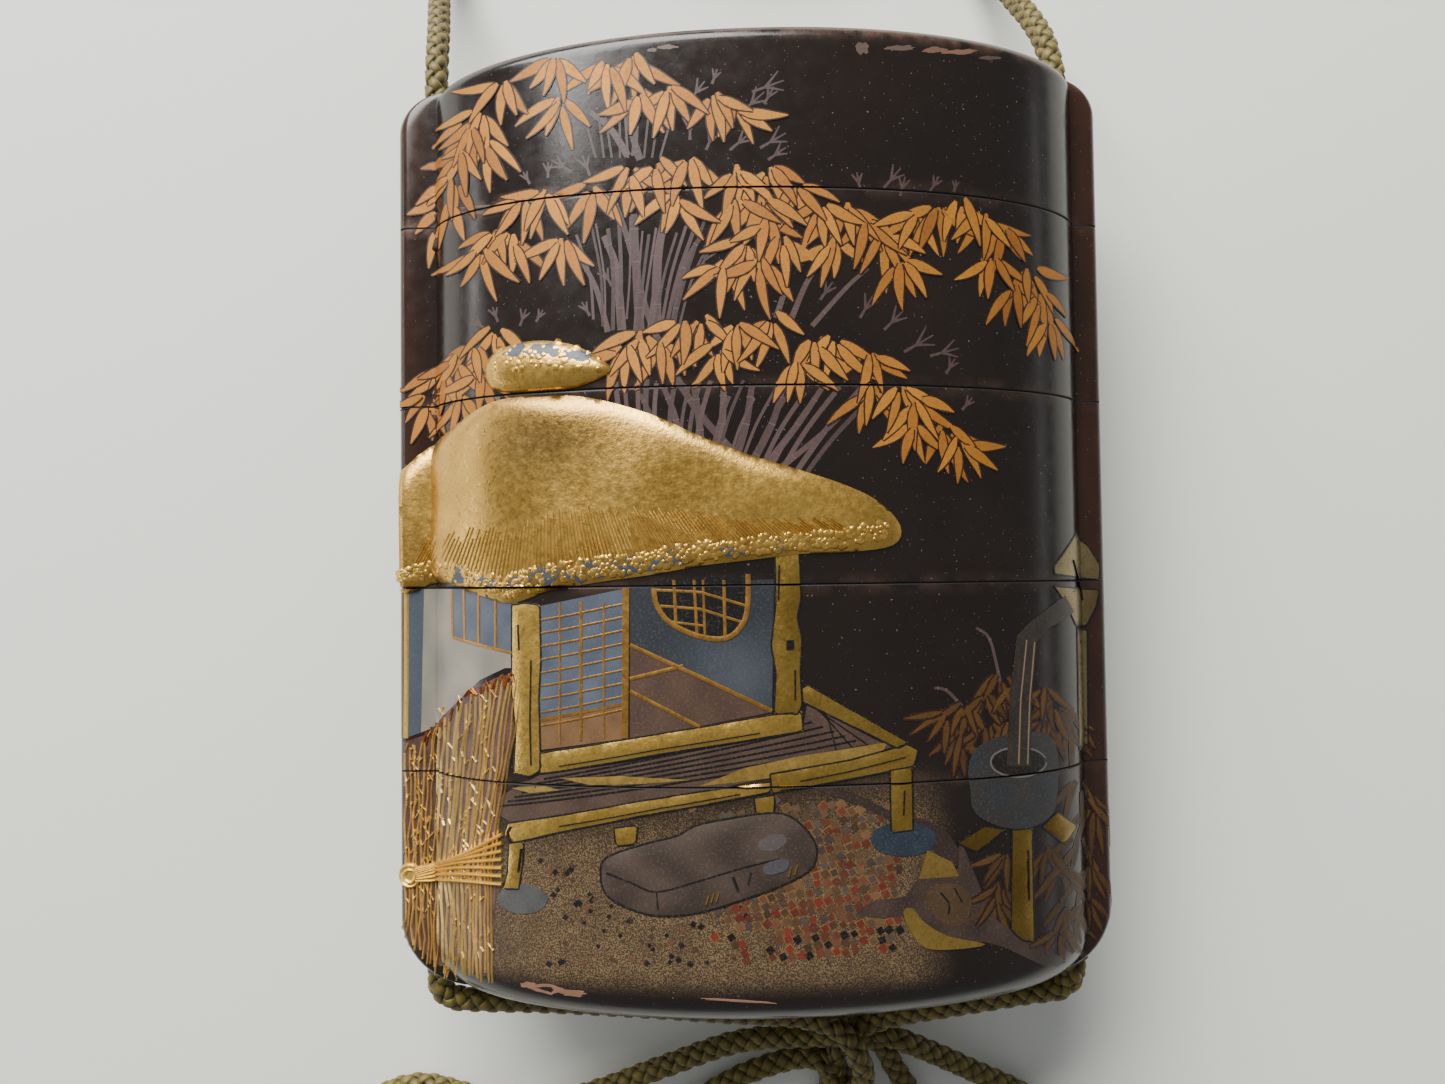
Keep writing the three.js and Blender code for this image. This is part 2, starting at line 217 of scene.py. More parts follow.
def lacquer_material():
    m = Mat("lacquer")
    cloud = m.ramp(m.noise(60, 4), 0.35, 0.7)
    base = m.mix(cloud, LACQUER_LOW, LACQUER_HIGH)
    streaks = m.ramp(m.noise(170, 4, squash=(1, 0.35, 1)), 0.35, 0.7)
    runner = m.mix(streaks, RUNNER_LOW, RUNNER_HIGH)
    base = m.mix(m.mark("runner"), base, runner)
    # gold powder of the ground
    powder = m.noise(8200, 2, 0.6)
    flake = m.math("MULTIPLY", m.ramp(powder, 0.47, 0.60), m.mark("ground"))
    patch = m.ramp(m.noise(330, 3), 0.35, 0.65, 0.45, 1.0)
    flake = m.math("MULTIPLY", flake, patch)
    base = m.mix(m.math("MULTIPLY", m.mark("ground"), 0.7), base, POWDER)
    base = m.mix(flake, base, FLAKE)
    # specks of dust
    dust = m.ramp(m.noise(4600, 1, 0.4), 0.735, 0.80, 0.0, 0.4)
    base = m.mix(dust, base, DUST)
    # worn edges
    edge = m.math("MULTIPLY", m.mark("wear"), m.ramp(m.noise(420, 5, 0.65), 0.40, 0.62))
    base = m.mix(m.math("MULTIPLY", edge, 0.85), base, WORN)
    rough = m.ramp(m.noise(700, 4), 0.3, 0.7, 0.15, 0.25)
    rough = m.math("ADD", rough, m.math("MULTIPLY", m.mark("ground"), 0.12))
    rough = m.math("ADD", rough, m.math("MULTIPLY", edge, 0.2))
    seam = m.mark("seam")
    base = m.mix(seam, base, SEAM_DARK)
    rough = m.math("ADD", rough, m.math("MULTIPLY", seam, 0.5))
    m.set(color=base, rough=rough, spec=0.42, metal=m.math("MULTIPLY", flake, 0.55))
    m.bump(m.noise(1500, 3), 0.05, 0.00012)
    return m.m


def gold_material(name, rough=(0.30, 0.46), metal=0.94, grain=0.12):
    m = Mat(name)
    c = m.tint()
    cloud = m.noise(260, 4, 0.6)
    c = m.mix(m.ramp(cloud, 0.32, 0.72, 0.0, 0.55), c, m.mix(1.0, c, (0.62, 0.55, 0.42), "MULTIPLY"))
    speck = m.noise(4200, 2, 0.6)
    c = m.mix(m.ramp(speck, 0.50, 0.68, 0.0, 0.35), c, m.mix(1.0, c, (0.42, 0.30, 0.20), "MULTIPLY"))
    m.set(color=c, metal=metal, rough=m.ramp(m.noise(1800, 3), 0.3, 0.7, *rough), spec=0.5)
    m.bump(m.noise(3800, 2), grain, 0.00008)
    return m.m


def pigment_material():
    m = Mat("pigment")
    c = m.tint()
    c = m.mix(m.ramp(m.noise(240, 4), 0.3, 0.7, 0.0, 0.5), c, m.mix(1.0, c, (0.55, 0.55, 0.55), "MULTIPLY"))
    c = m.mix(m.ramp(m.noise(5200, 2), 0.52, 0.70, 0.0, 0.16), c, m.mix(0.5, c, (0.30, 0.27, 0.22)))
    m.set(color=c, rough=0.38, spec=0.4)
    m.bump(m.noise(2600, 2), 0.06, 0.0001)
    return m.m


def silk_material():
    m = Mat("silk")
    c = m.tint()
    c = m.mix(m.ramp(m.noise(900, 3), 0.3, 0.7, 0.0, 0.6), c, m.mix(1.0, c, (0.55, 0.58, 0.5), "MULTIPLY"))
    m.set(color=c, rough=0.5, spec=0.4, sheen=0.08)
    m.bump(m.noise(5200, 2), 0.25, 0.0001)
    return m.m


LACQUER = lacquer_material()
GOLD = gold_material("gold")
GOLD_RAISED = gold_material("gold_raised", rough=(0.24, 0.40), grain=0.3)
LEAF_GOLD = gold_material("leaf_gold", rough=(0.5, 0.62), metal=0.35, grain=0.1)
TWIG_GOLD = gold_material("twig_gold", rough=(0.34, 0.50), metal=0.75, grain=0.2)
PIGMENT = pigment_material()
SILK = silk_material()


# Lines
def distances(line):
    """How far along the line each point lies."""
    return np.concatenate([[0], np.cumsum(np.linalg.norm(np.diff(line, axis=0), axis=1))])


def spaced(line, n):
    """n points at even steps along a line of two or three coordinates."""
    s = distances(line)
    at = np.linspace(0, s[-1], n)
    return np.stack([np.interp(at, s, line[:, k]) for k in range(line.shape[1])], 1)


def resample(line, step):
    return spaced(line, max(2, int(round(distances(line)[-1] / step)) + 1))


def between(u, a, b, p, q):
    """p at a and q at b, mixed evenly at u."""
    return (b - u) / (b - a) * p + (u - a) / (b - a) * q


def catmull(points, step=0.25):
    """Centripetal Catmull-Rom as three.js draws it, resampled at even steps."""
    p = [np.array(q, float) for q in points]
    p = [2 * p[0] - p[1]] + p + [2 * p[-1] - p[-2]]
    out = []
    for i in range(1, len(p) - 2):
        t = [0.0]
        for a, b in ((i - 1, i), (i, i + 1), (i + 1, i + 2)):
            t.append(t[-1] + max(np.linalg.norm(p[b] - p[a]), 1e-6) ** 0.5)
        for u in np.linspace(t[1], t[2], 24, endpoint=False):
            first = [between(u, t[k], t[k + 1], p[i - 1 + k], p[i + k]) for k in range(3)]
            second = [between(u, t[k], t[k + 2], first[k], first[k + 1]) for k in range(2)]
            out.append(between(u, t[1], t[2], *second))
    out.append(p[-2])
    return resample(np.array(out), step)


def length_of(line):
    return float(np.linalg.norm(np.diff(line, axis=0), axis=1).sum())


def smooth_line(line, rounds):
    line = line.copy()
    for _ in range(rounds):
        line[1:-1] = 0.5 * line[1:-1] + 0.25 * (line[:-2] + line[2:])
    return line


def frames_along(line):
    """Tangent, side and up at each point, turning as little as possible."""
    t = np.gradient(line, axis=0)
    t /= np.linalg.norm(t, axis=1)[:, None]
    up = np.array([0.0, 0.0, 1.0]) if abs(t[0][2]) < 0.9 else np.array([0.0, 1.0, 0.0])
    side = np.zeros_like(line)
    side[0] = np.cross(t[0], up)
    side[0] /= np.linalg.norm(side[0])
    for i in range(1, len(line)):
        v = side[i - 1] - t[i] * np.dot(side[i - 1], t[i])
        side[i] = v / np.linalg.norm(v)
    return t, side, np.cross(side, t)


def skin(line, side, up, radii, sides):
    """verts, faces of a closed tube around a line; radii is (n, 2), along side and along up."""
    a = np.arange(sides) * 2 * math.pi / sides
    ring = (np.cos(a)[None, :, None] * side[:, None, :] * radii[:, None, :1]
            + np.sin(a)[None, :, None] * up[:, None, :] * radii[:, None, 1:])
    n = len(line)
    i, j = np.meshgrid(np.arange(n - 1), np.arange(sides), indexing="ij")
    k = (j + 1) % sides
    quads = np.stack([i * sides + j, i * sides + k, (i + 1) * sides + k, (i + 1) * sides + j], -1)
    faces = quads.reshape(-1, 4).tolist()
    faces += [list(range(sides))[::-1], [(n - 1) * sides + q for q in range(sides)]]
    return (line[:, None, :] + ring).reshape(-1, 3), faces


# Braided cords
STRANDS = 8
STRAND_SIDES = 6
BRAID_R = 0.77
BRAID_RATE = 1.0
BRAID_WAVE = 0.12
BRAID_STEP = 0.2
STRAND_R = (0.48, 0.26)
SILK_GREEN = np.array([0.094, 0.073, 0.012])
# colour of the painted highlight on the top of each lump of the braid
SILK_PAINTED_HIGHLIGHT = np.array([0.10, 0.068, 0.010])


def braid(name, line):
    """A round braid of eight strands along a centreline, in mm."""
    line = resample(line, BRAID_STEP)
    n = len(line)
    s = np.arange(n) * length_of(line) / (n - 1)
    _, side, up = frames_along(line)
    verts, faces, tints = [], [], []
    rng = random.Random(name)
    for k in range(STRANDS):
        way = 1 if k % 2 == 0 else -1
        theta = way * BRAID_RATE * s + (k // 2) * math.pi / 2
        wave = way * np.cos(4 * theta)
        out = np.cos(theta)[:, None] * side + np.sin(theta)[:, None] * up
        centre = line + (BRAID_R + BRAID_WAVE * wave)[:, None] * out
        tan = np.gradient(centre, axis=0)
        tan /= np.linalg.norm(tan, axis=1)[:, None]
        across = np.cross(tan, out)
        across /= np.linalg.norm(across, axis=1)[:, None]
        flat = 1 + 0.10 * np.sin(s * 1.7 + k)
        radii = np.stack([STRAND_R[0] * flat, np.full(n, STRAND_R[1])], 1)
        v, f = skin(centre, across, out, radii, STRAND_SIDES)
        verts.append(v)
        faces += [[q + k * len(v) for q in face] for face in f]
        # painted light: the top of each lump gets a painted highlight of gold, the dips a painted shade of
        # dark green
        high = ((wave + 1) / 2)[:, None, None] * np.ones((n, STRAND_SIDES, 1))
        green = SILK_GREEN * (0.85 + 0.3 * rng.random())
        tints.append((green * (0.28 + 0.85 * high) + SILK_PAINTED_HIGHLIGHT * high ** 3).reshape(-1, 3))
    return add_mesh(name, np.concatenate(verts), faces, colours=np.concatenate(tints))


ROUTES = {
    "top_left": [
        (-29, 39.7, 12.8), (-29, 41.3, 12.8), (-29.1, 44.3, 12.1), (-29.5, 48.3, 9.8), (-30.1, 52.3, 7),
        (-30.6, 56.3, 4.2), (-30.3, 60, 2.2), (-28.4, 63.3, 1.25), (-24.8, 65, 1.15), (-20, 65.1, 1.15),
        (-14, 64.3, 1.15), (-8.6, 63.8, 1.15),
    ],
    "top_right": [
        (29, 39.7, 12.8), (29, 41.8, 12.8), (28.7, 45.8, 11.6), (28.1, 49.8, 9), (27.3, 53.3, 6.2),
        (26.3, 56.8, 3.8), (24.6, 60, 2.1), (21.8, 62.9, 1.3), (18, 63.9, 1.2), (13.5, 63.9, 1.6),
        (8.6, 63.8, 2.6),
    ],
    "base_left": [
        (-29, -39.7, 12.8), (-29, -41.3, 12.75), (-28.2, -42.5, 12.3), (-25.6, -43.1, 11.6),
        (-21, -43.6, 10.8), (-15, -44.3, 10.0), (-9, -45.1, 9.2), (-3, -46, 8.3), (2, -46.7, 7.5),
        (5.1, -47.3, 7.0),
    ],
    "base_right": [
        (29, -39.7, 12.8), (29, -41.3, 12.8), (28.2, -42.8, 12.2), (25.4, -43.6, 11.2), (21.5, -44.6, 10.2),
        (17.3, -45.7, 9), (13.5, -46.9, 7.6),
    ],
    "bow_left": [
        (5.3, -50, 4.6), (-1.3, -50.7, 3.7), (-9, -53.5, 2.6), (-16.2, -56.3, 1.7), (-22.5, -57.9, 1.2),
        (-28.5, -56.7, 1.15), (-34, -55.4, 1.15), (-38.2, -56.9, 1.15), (-40, -60.3, 1.15),
        (-38.2, -63.9, 1.15), (-33, -66.1, 1.15), (-26, -66.5, 1.15), (-18, -64.6, 1.15),
        (-10.5, -60.5, 1.15), (-4.5, -56.8, 1.3), (0, -54.4, 1.9), (5.3, -52.9, 2.6),
    ],
    "bow_right": [
        (13.9, -50.4, 4.5), (17.2, -52, 3.8), (22.2, -54.7, 2.6), (27.2, -57.4, 1.7), (31.6, -60.7, 1.2),
        (34, -64.6, 1.15), (32.6, -68.3, 1.15), (28.2, -69.8, 1.15), (22.6, -67.5, 1.15),
        (18.6, -62.7, 1.2), (16, -57.3, 1.8), (14, -54, 2.4),
    ],
    "tail_left": [(7.7, -55.3, 1.7), (6.9, -59.1, 1.2), (4.9, -63.6, 1.15), (3.9, -68.4, 1.15)],
    "tail_right": [(11.7, -55.3, 1.7), (12.3, -59.1, 1.2), (12.1, -63.6, 1.15), (13.7, -68.4, 1.15)],
    "knot_wrap": [
        (8, -48.3, 7.4), (9.8, -50.7, 7.7), (10.4, -53.4, 6.6), (9.8, -55.6, 4.6), (8.2, -55.7, 2.8),
        (7.2, -53, 1.7), (8.6, -50.4, 1.8), (11.4, -49.9, 3.2),
    ],
    "knot_cross": [
        (12.7, -51.5, 3.1), (10.6, -50.5, 3.5), (8.5, -51.4, 3.4), (8.1, -53.6, 2.7), (9.7, -56, 1.8),
    ],
    "knot_over": [(10, -48.6, 5.9), (7.9, -49.6, 5.2)],
    "knot_under": [(7.2, -53.4, 3.0)],
    "coil_start": [(-4, 63.7, 1.15)],
    "coil_end": [(4, 63.8, 3.1)],
}
COIL_X, COIL_Y = 0.0, 77.0
COIL_IN, COIL_OUT, COIL_TURNS, COIL_STEPS = 10.0, 13.3, 1.5, 60
COIL_LOW, COIL_HIGH = 1.15, 3.3
COIL_RISE = 0.12  # share of the upper layer over which it climbs off the lower one


def coil_line():
    """Two flat layers: inwards on the table, then back out on top of that."""
    pts = []
    for layer, z, r0, r1 in ((0, COIL_LOW, COIL_OUT, COIL_IN), (1, COIL_HIGH, COIL_IN, COIL_OUT)):
        for i in range(COIL_STEPS + 1):
            f = i / COIL_STEPS
            a = -math.pi / 2 + (layer * COIL_TURNS + f * COIL_TURNS) * 2 * math.pi
            r = r0 + (r1 - r0) * f
            rise = z
            if layer == 1 and f < COIL_RISE:
                rise = COIL_LOW + (z - COIL_LOW) * (0.5 - 0.5 * math.cos(math.pi * f / COIL_RISE))
            pts.append((COIL_X + r * math.cos(a), COIL_Y + r * math.sin(a), rise))
    return np.array(pts)


def joined(*lines):
    out = np.concatenate(lines)
    keep = [0]
    for i in range(1, len(out)):
        if np.linalg.norm(out[i] - out[keep[-1]]) > 0.15:
            keep.append(i)
    return smooth_line(resample(out[keep], 0.25), 8)


loop = joined(catmull(ROUTES["top_left"] + ROUTES["coil_start"]), coil_line(),
              catmull(ROUTES["coil_end"] + ROUTES["top_right"][::-1]))
left = joined(catmull(ROUTES["base_left"] + ROUTES["knot_wrap"] + ROUTES["bow_right"]
                      + ROUTES["knot_cross"] + ROUTES["tail_right"][1:]))
right = joined(catmull(ROUTES["base_right"] + ROUTES["knot_over"] + ROUTES["bow_left"]
                       + ROUTES["knot_under"] + ROUTES["tail_left"]))
cords = {}
for key, line in (("cord_loop", loop), ("cord_left", left), ("cord_right", right)):
    cords[key] = braid(key, line)

KNOT_BROWN = np.array([0.17, 0.135, 0.033])
KNOT_POINTS = 73
KNOT_TUBE = 0.85


def end_knot(name, line):
    """A small knot past a tail's end: one thick closed turn that crosses itself in height."""
    end = line[-1]
    along = end - line[-6]
    along[2] = 0
    along /= np.linalg.norm(along)
    across = np.array([-along[1], along[0], 0.0])
    centre = np.array([end[0], end[1], 1.95]) + along * 2.6
    pts = []
    for a in np.linspace(0, 2 * math.pi, KNOT_POINTS):
        lift = np.array([0, 0, 0.78 * math.sin(2 * a)])
        r = 1.0 + 0.22 * math.cos(2 * a)
        pts.append(centre + across * r * math.cos(a) * 0.95 + along * 1.25 * r * math.sin(a) + lift)
    pts = np.array(pts)
    _, side, up = frames_along(pts)
    v, f = skin(pts, side, up, np.full((KNOT_POINTS, 2), KNOT_TUBE), 10)
    tone = 0.75 + 0.25 * np.sin(np.arange(len(v)) * 0.9)
    return add_mesh(name, v, f, colours=KNOT_BROWN[None, :] * tone[:, None])


knots = {"end_knot_right": end_knot("tail_knot_right", left),
         "end_knot_left": end_knot("tail_knot_left", right)}

put(cords["cord_loop"], "silk", SILK, "cord_top_left", "cord_coil", "cord_top_right")
put(cords["cord_left"], "silk", SILK, "cord_base_left", "bow_knot", "bow_right", "cord_tail_right")
put(cords["cord_right"], "silk", SILK, "cord_base_right", "bow_left", "cord_tail_left")
for node, obj in knots.items():
    put(obj, "silk", SILK, node)


# Lacquered sections
def oval_z(x, hw, ht):
    s = np.clip(np.abs(x) / hw, 0, 1)
    return ht * (1 - s ** EXPONENT) ** (1 / EXPONENT)


def oval_x(z, hw, ht):
    s = np.clip(np.abs(z) / ht, 0, 1)
    return hw * (1 - s ** EXPONENT) ** (1 / EXPONENT)


FRONT, BACK, SIDE = 110, 56, 16


def ring(y, hw, ht, runner=0.0, middle=0.0):
    """One closed ring of the section, as part.mjs makes it, with more points."""
    rz = min(RUNNER_THICKNESS / 2, 0.3 * ht)
    corner = math.asin((rz / ht) ** (EXPONENT / 2))
    pts = []

    def side(s):
        for i in range(SIDE + 1):
            turn = s * math.pi * (i / SIDE - 0.5)
            z = rz * math.copysign(math.sqrt(abs(math.sin(turn))), turn)
            nose = runner - RUNNER_EDGE * (1 - math.sqrt(max(math.cos(turn), 0)))
            pts.append((s * max(float(oval_x(z, hw, ht)) + s * middle, nose), z))

    def flank(top, steps):
        for i in [0.04, *range(1, steps), steps - 0.04]:
            turn = corner + (math.pi - 2 * corner) * i / steps
            c = math.cos(turn)
            x = hw * math.copysign(abs(c) ** (2 / EXPONENT), c)
            z = ht * math.sin(turn) ** (2 / EXPONENT)
            pts.append((middle + top * x, z if top > 0 else max(-z, -MID_Z)))

    side(1)
    flank(1, FRONT)
    side(-1)
    flank(-1, BACK)
    p = np.array(pts)
    return np.stack([p[:, 0], np.full(len(p), float(y)), p[:, 1]], 1)


def outer(y, inset=0.0, runner_inset=None):
    ri = inset if runner_inset is None else runner_inset
    return ring(y, HW - inset, HT - inset, WIDTH / 2 - ri, BODY_SHIFT)


def rolled(depth, radius):
    rest = np.clip(radius - depth, 0, radius)
    return radius - np.sqrt(radius ** 2 - rest ** 2)


def end_rings(y, up, roll, runner_roll, lean):
    rings = []
    depths = [runner_roll - (runner_roll - roll) * i / 6 for i in range(6)]
    depths += [roll * (1 - math.cos(i / 10 * math.pi / 2)) for i in range(10, -1, -1)]
    for d in depths:
        rings.append(outer(y - up * d, rolled(d, roll), rolled(d, runner_roll)))
    for share in (0.93, 0.8, 0.66, 0.5, 0.33, 0.16):
        rings.append(ring(y, share * (HW - roll), share * (HT - roll), 0, share * BODY_SHIFT))
    rings.append(np.array([[0.0, float(y), 0.0]]))
    for r in rings:
        drop = END_DROP * (r[:, 0] / HW) ** 2 + END_CROWN * (r[:, 2] / HT) ** 2
        r[:, 1] -= up * (drop - lean * r[:, 0] / HW)
    return rings


EDGE = 0.13  # radius of the rounding at a joint
SEAM = 0.14  # how far each face of a joint stands into the model's gap


def edge_rows(y, way):
    """Small rounding at a joint: rings from the joint's face out to the full section."""
    rows = []
    for i in range(4):
        a = i / 3 * math.pi / 2
        rows.append(outer(y - way * SEAM + way * EDGE * (1 - math.cos(a)), EDGE * (1 - math.sin(a))))
    return rows


def body_rows(y0, y1):
    n = max(2, int(round((y1 - y0) / 0.8)))
    return [outer(y0 + (y1 - y0) * i / n) for i in range(n + 1)]


def seat(y):
    return ring(y, SEAT_HW, SEAT_HT)


def riser(y):
    return ring(y, SEAT_HW - FIT, SEAT_HT - FIT)


def hollow(y):
    return ring(y, SEAT_HW - FIT - RISER_WALL, SEAT_HT - FIT - RISER_WALL)


def point(y):
    return np.array([[0.0, float(y), 0.0]])


def upper(rim, floor):
    return [riser(rim), riser(rim + RISER_H), hollow(rim + RISER_H), hollow(floor), point(floor)]


SECTIONS = [("base", 0.0, BASE_H)]
for number in (3, 2, 1):
    SECTIONS.append((f"tray_{number}", BASE_H + GAP + (3 - number) * (CASE_H + GAP), CASE_H))
SECTIONS.append(("lid", STACK - LID_H, LID_H))
JOINTS = [Y0 + y - GAP / 2 for _, y, _ in SECTIONS[1:]]
LID_WEAR, TRAY_WEAR, LEAST_WEAR = 0.8, 0.3, 0.22
TOP_DEPTH, LOW_DEPTH = 2.2, 3.4
GROUND_LINE, GROUND_LEAN = -22.0, 0.10


def smooth_step(x, a, b):
    t = np.clip((x - a) / (b - a), 0, 1)
    return t * t * (3 - 2 * t)


def mark_section(mesh):
    """Per-vertex marks: wear near edges, runner faces, and the gold-powdered ground of the picture."""
    n = len(mesh.vertices)
    co = np.empty(n * 3)
    mesh.vertices.foreach_get("co", co)
    co = co.reshape(-1, 3) / MM
    x, y, z = co.T
    wear = np.zeros(n)
    for j in JOINTS:
        rubbed = LID_WEAR if j == JOINTS[-1] else TRAY_WEAR
        rubbed = LEAST_WEAR + (rubbed - LEAST_WEAR) * smooth_step(-x, 4, 14)
        wear = np.maximum(wear, rubbed * (1 - smooth_step(np.abs(y - j), 0.2, 0.55)))
    top = np.maximum(0, y - (STACK / 2 - TOP_DEPTH)) / TOP_DEPTH
    low = np.maximum(0, (Y0 + LOW_DEPTH) - y) / LOW_DEPTH
    oval = (np.abs(x - BODY_SHIFT) / HW) ** EXPONENT + (np.abs(z - MID_Z) / HT) ** EXPONENT
    rim = smooth_step(oval, 0.80, 0.92)
    wear = np.maximum(wear, 0.8 * smooth_step(top, 0.1, 0.8) * rim)
    wear = np.maximum(wear, 0.4 * smooth_step(low, 0.45, 1.0) * rim)
    runner = smooth_step(np.abs(x), 28.0, 30.4)
    wear = np.maximum(wear, 0.2 * smooth_step(np.abs(x), 30.6, 31.8))
    up = smooth_step(z, MID_Z - 3, MID_Z + 2)
    # the ground: below a slanting line under the veranda, fading into black to the right and at the end
    line = GROUND_LINE + GROUND_LEAN * x
    ground = (1 - smooth_step(y, line - 5.0, line + 1.5)) * smooth_step(y, Y0 + 2.7, Y0 + 5.2)
    ground *= (1 - smooth_step(x, 10.5, 16.0)) * (0.25 + 0.75 * smooth_step(x, -25.0, -20.0)) * up
    seam = np.zeros(n)
    for j in JOINTS:
        seam = np.maximum(seam, 1 - smooth_step(np.abs(y - j), 0.06, 0.16))
    for key, values in (("wear", wear), ("runner", runner), ("ground", ground), ("seam", seam)):
        a = mesh.attributes.new(key, "FLOAT", "POINT")
        a.data.foreach_set("value", values)


def bore(obj, side):
    """Cuts the cord's channel on one side, and keeps the result as the mesh."""
    n = 20
    a = np.arange(n) * 2 * math.pi / n
    verts = []
    for y in (-60, 60):
        verts += [(side * HOLE_X + HOLE_R * math.cos(t), y, MID_Z + HOLE_R * math.sin(t)) for t in a]
    faces = [(i, i + n, (i + 1) % n + n, (i + 1) % n) for i in range(n)]
    faces += [tuple(range(n)), tuple(range(2 * n - 1, n - 1, -1))]
    cutter = add_mesh("cutter", verts, faces, smooth=False)
    mod = obj.modifiers.new("bore", "BOOLEAN")
    mod.operation, mod.solver, mod.object = "DIFFERENCE", "EXACT", cutter
    deps = bpy.context.evaluated_depsgraph_get()
    mesh = bpy.data.meshes.new_from_object(obj.evaluated_get(deps))
    obj.modifiers.clear()
    old = obj.data
    obj.data = mesh
    bpy.data.meshes.remove(old)
    bpy.data.objects.remove(cutter)


def section(name, rings, y, node):
    verts = np.concatenate(rings)
    starts = np.cumsum([0] + [len(r) for r in rings])
    faces = []
    for r in range(len(rings) - 1):
        n0, n1 = len(rings[r]), len(rings[r + 1])
        n = max(n0, n1)
        for i in range(n):
            j = (i + 1) % n
            if n0 == 1:
                faces.append((starts[r], starts[r + 1] + i, starts[r + 1] + j))
            elif n1 == 1:
                faces.append((starts[r] + i, starts[r + 1], starts[r] + j))
            else:
                faces.append((starts[r] + i, starts[r + 1] + i, starts[r + 1] + j, starts[r] + j))
    verts = verts + np.array([0, Y0 + y, MID_Z])
    obj = add_mesh(name, verts, [tuple(int(q) for q in f) for f in faces])
    bore(obj, -1)
    bore(obj, 1)
    mesh = obj.data
    mesh.name = name
    mesh.polygons.foreach_set("use_smooth", [True] * len(mesh.polygons))
    mesh.set_sharp_from_angle(angle=math.radians(38))
    mark_section(mesh)
    put(obj, "lacquer", LACQUER, node)


def rows_of(name, h):
    """Rings of one section, from its lower end to its upper one, over the outside."""
    if name == "base":
        rows = end_rings(0, -1, BASE_ROLL, BASE_RUNNER_ROLL, 0)[::-1]
        rows += body_rows(BASE_RUNNER_ROLL + END_DROP + 0.6, h - EDGE)
        return rows + edge_rows(h, -1)[::-1] + upper(h, BASE_FLOOR)
    if name == "lid":
        ceiling = h - LID_TOP
        rows = [point(ceiling), seat(ceiling), seat(0)] + edge_rows(0, 1)
        rows += body_rows(EDGE, h - LID_RUNNER_ROLL - END_DROP - 1.2)
        return rows + end_rings(h, 1, LID_ROLL, LID_RUNNER_ROLL, LID_LEAN)
    rows = [point(RISER_H), seat(RISER_H), seat(0)] + edge_rows(0, 1) + body_rows(EDGE, h - EDGE)
    return rows + edge_rows(h, -1)[::-1] + upper(h, RISER_H + FLOOR)


for name, y, h in SECTIONS:
    section(name + "_shell", rows_of(name, h), y, name)
for node in ("cord_channel_left", "cord_channel_right"):
    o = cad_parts[node]
    o.data.materials.clear()
    o.data.materials.append(SILK)


# The curved front
FRONT_EDGE = WIDTH / 2 - 0.15


def top_z(x, y):
    """Height of the front over the table at x, y, with the runners' faces and the rolled ends."""
    x, y = np.asarray(x, float), np.asarray(y, float)
    fall = END_DROP * (x / HW) ** 2 + 0.6 * END_CROWN
    low = y - Y0 - fall
    high = -Y0 - y - fall + LID_LEAN * x / HW
    inset = np.maximum(rolled(low, BASE_ROLL), rolled(high, LID_ROLL))
    nose = WIDTH / 2 - np.maximum(rolled(low, BASE_RUNNER_ROLL), rolled(high, LID_RUNNER_ROLL))
    xs = np.abs(x - BODY_SHIFT)
    oval = np.where(xs < HW - inset, oval_z(xs, HW - inset, HT - inset), 0.0)
    depth = np.clip((np.abs(x) - (nose - RUNNER_EDGE)) / RUNNER_EDGE, 0, 1)
    face = RUNNER_THICKNESS / 2 * (1 - depth ** 4) ** 0.25
    return MID_Z + np.maximum(oval, np.where(np.abs(x) < nose, face, 0.0))


def cast(px):
    """Pixels of the view to x, y in mm on the front."""
    px = np.asarray(px, float).reshape(-1, 2)
    d = np.stack([(px[:, 0] - FW / 2) / FOCAL, -(px[:, 1] - FH / 2) / FOCAL, -np.ones(len(px))], 1) @ TURN
    lo = np.full(len(px), MID_Z)
    hi = np.full(len(px), MID_Z + HT + 1)
    for _ in range(30):
        mid = (lo + hi) / 2
        t = (mid - CAM[2]) / d[:, 2]
        above = mid > top_z(CAM[0] + t * d[:, 0], CAM[1] + t * d[:, 1])
        hi = np.where(above, mid, hi)
        lo = np.where(above, lo, mid)
    t = (hi - CAM[2]) / d[:, 2]
    return np.stack([CAM[0] + t * d[:, 0], CAM[1] + t * d[:, 1]], 1)


def on_front(xy, lift):
    """x, y in mm to points that stand lift mm off the front, along its normal."""
    xy = np.asarray(xy, float)
    x = np.clip(xy[:, 0], -FRONT_EDGE, FRONT_EDGE)
    y = xy[:, 1]
    z = top_z(x, y)
    e = 0.03
    sx = (top_z(x + e, y) - top_z(x - e, y)) / (2 * e)
    sy = (top_z(x, y + e) - top_z(x, y - e)) / (2 * e)
    nrm = np.stack([-sx, -sy, np.ones_like(sx)], 1)
    nrm /= np.linalg.norm(nrm, axis=1)[:, None]
    return np.stack([x, y, z], 1) + nrm * np.asarray(lift, float).reshape(-1, 1)


CREASE = HW * (1 - (RUNNER_THICKNESS / 2 / HT) ** EXPONENT) ** (1 / EXPONENT)  # where body meets runner
CUT = 0.09  # a shape stops this far from the middle of a joint
SPANS = [(a + CUT, b - CUT) for a, b in zip([Y0 - 9] + JOINTS, JOINTS + [9 - Y0])]
STEEP_X, STEEP_LINE_X = 23, 24  # past these the front curves so fast that shapes need finer steps
FINE = 0.3


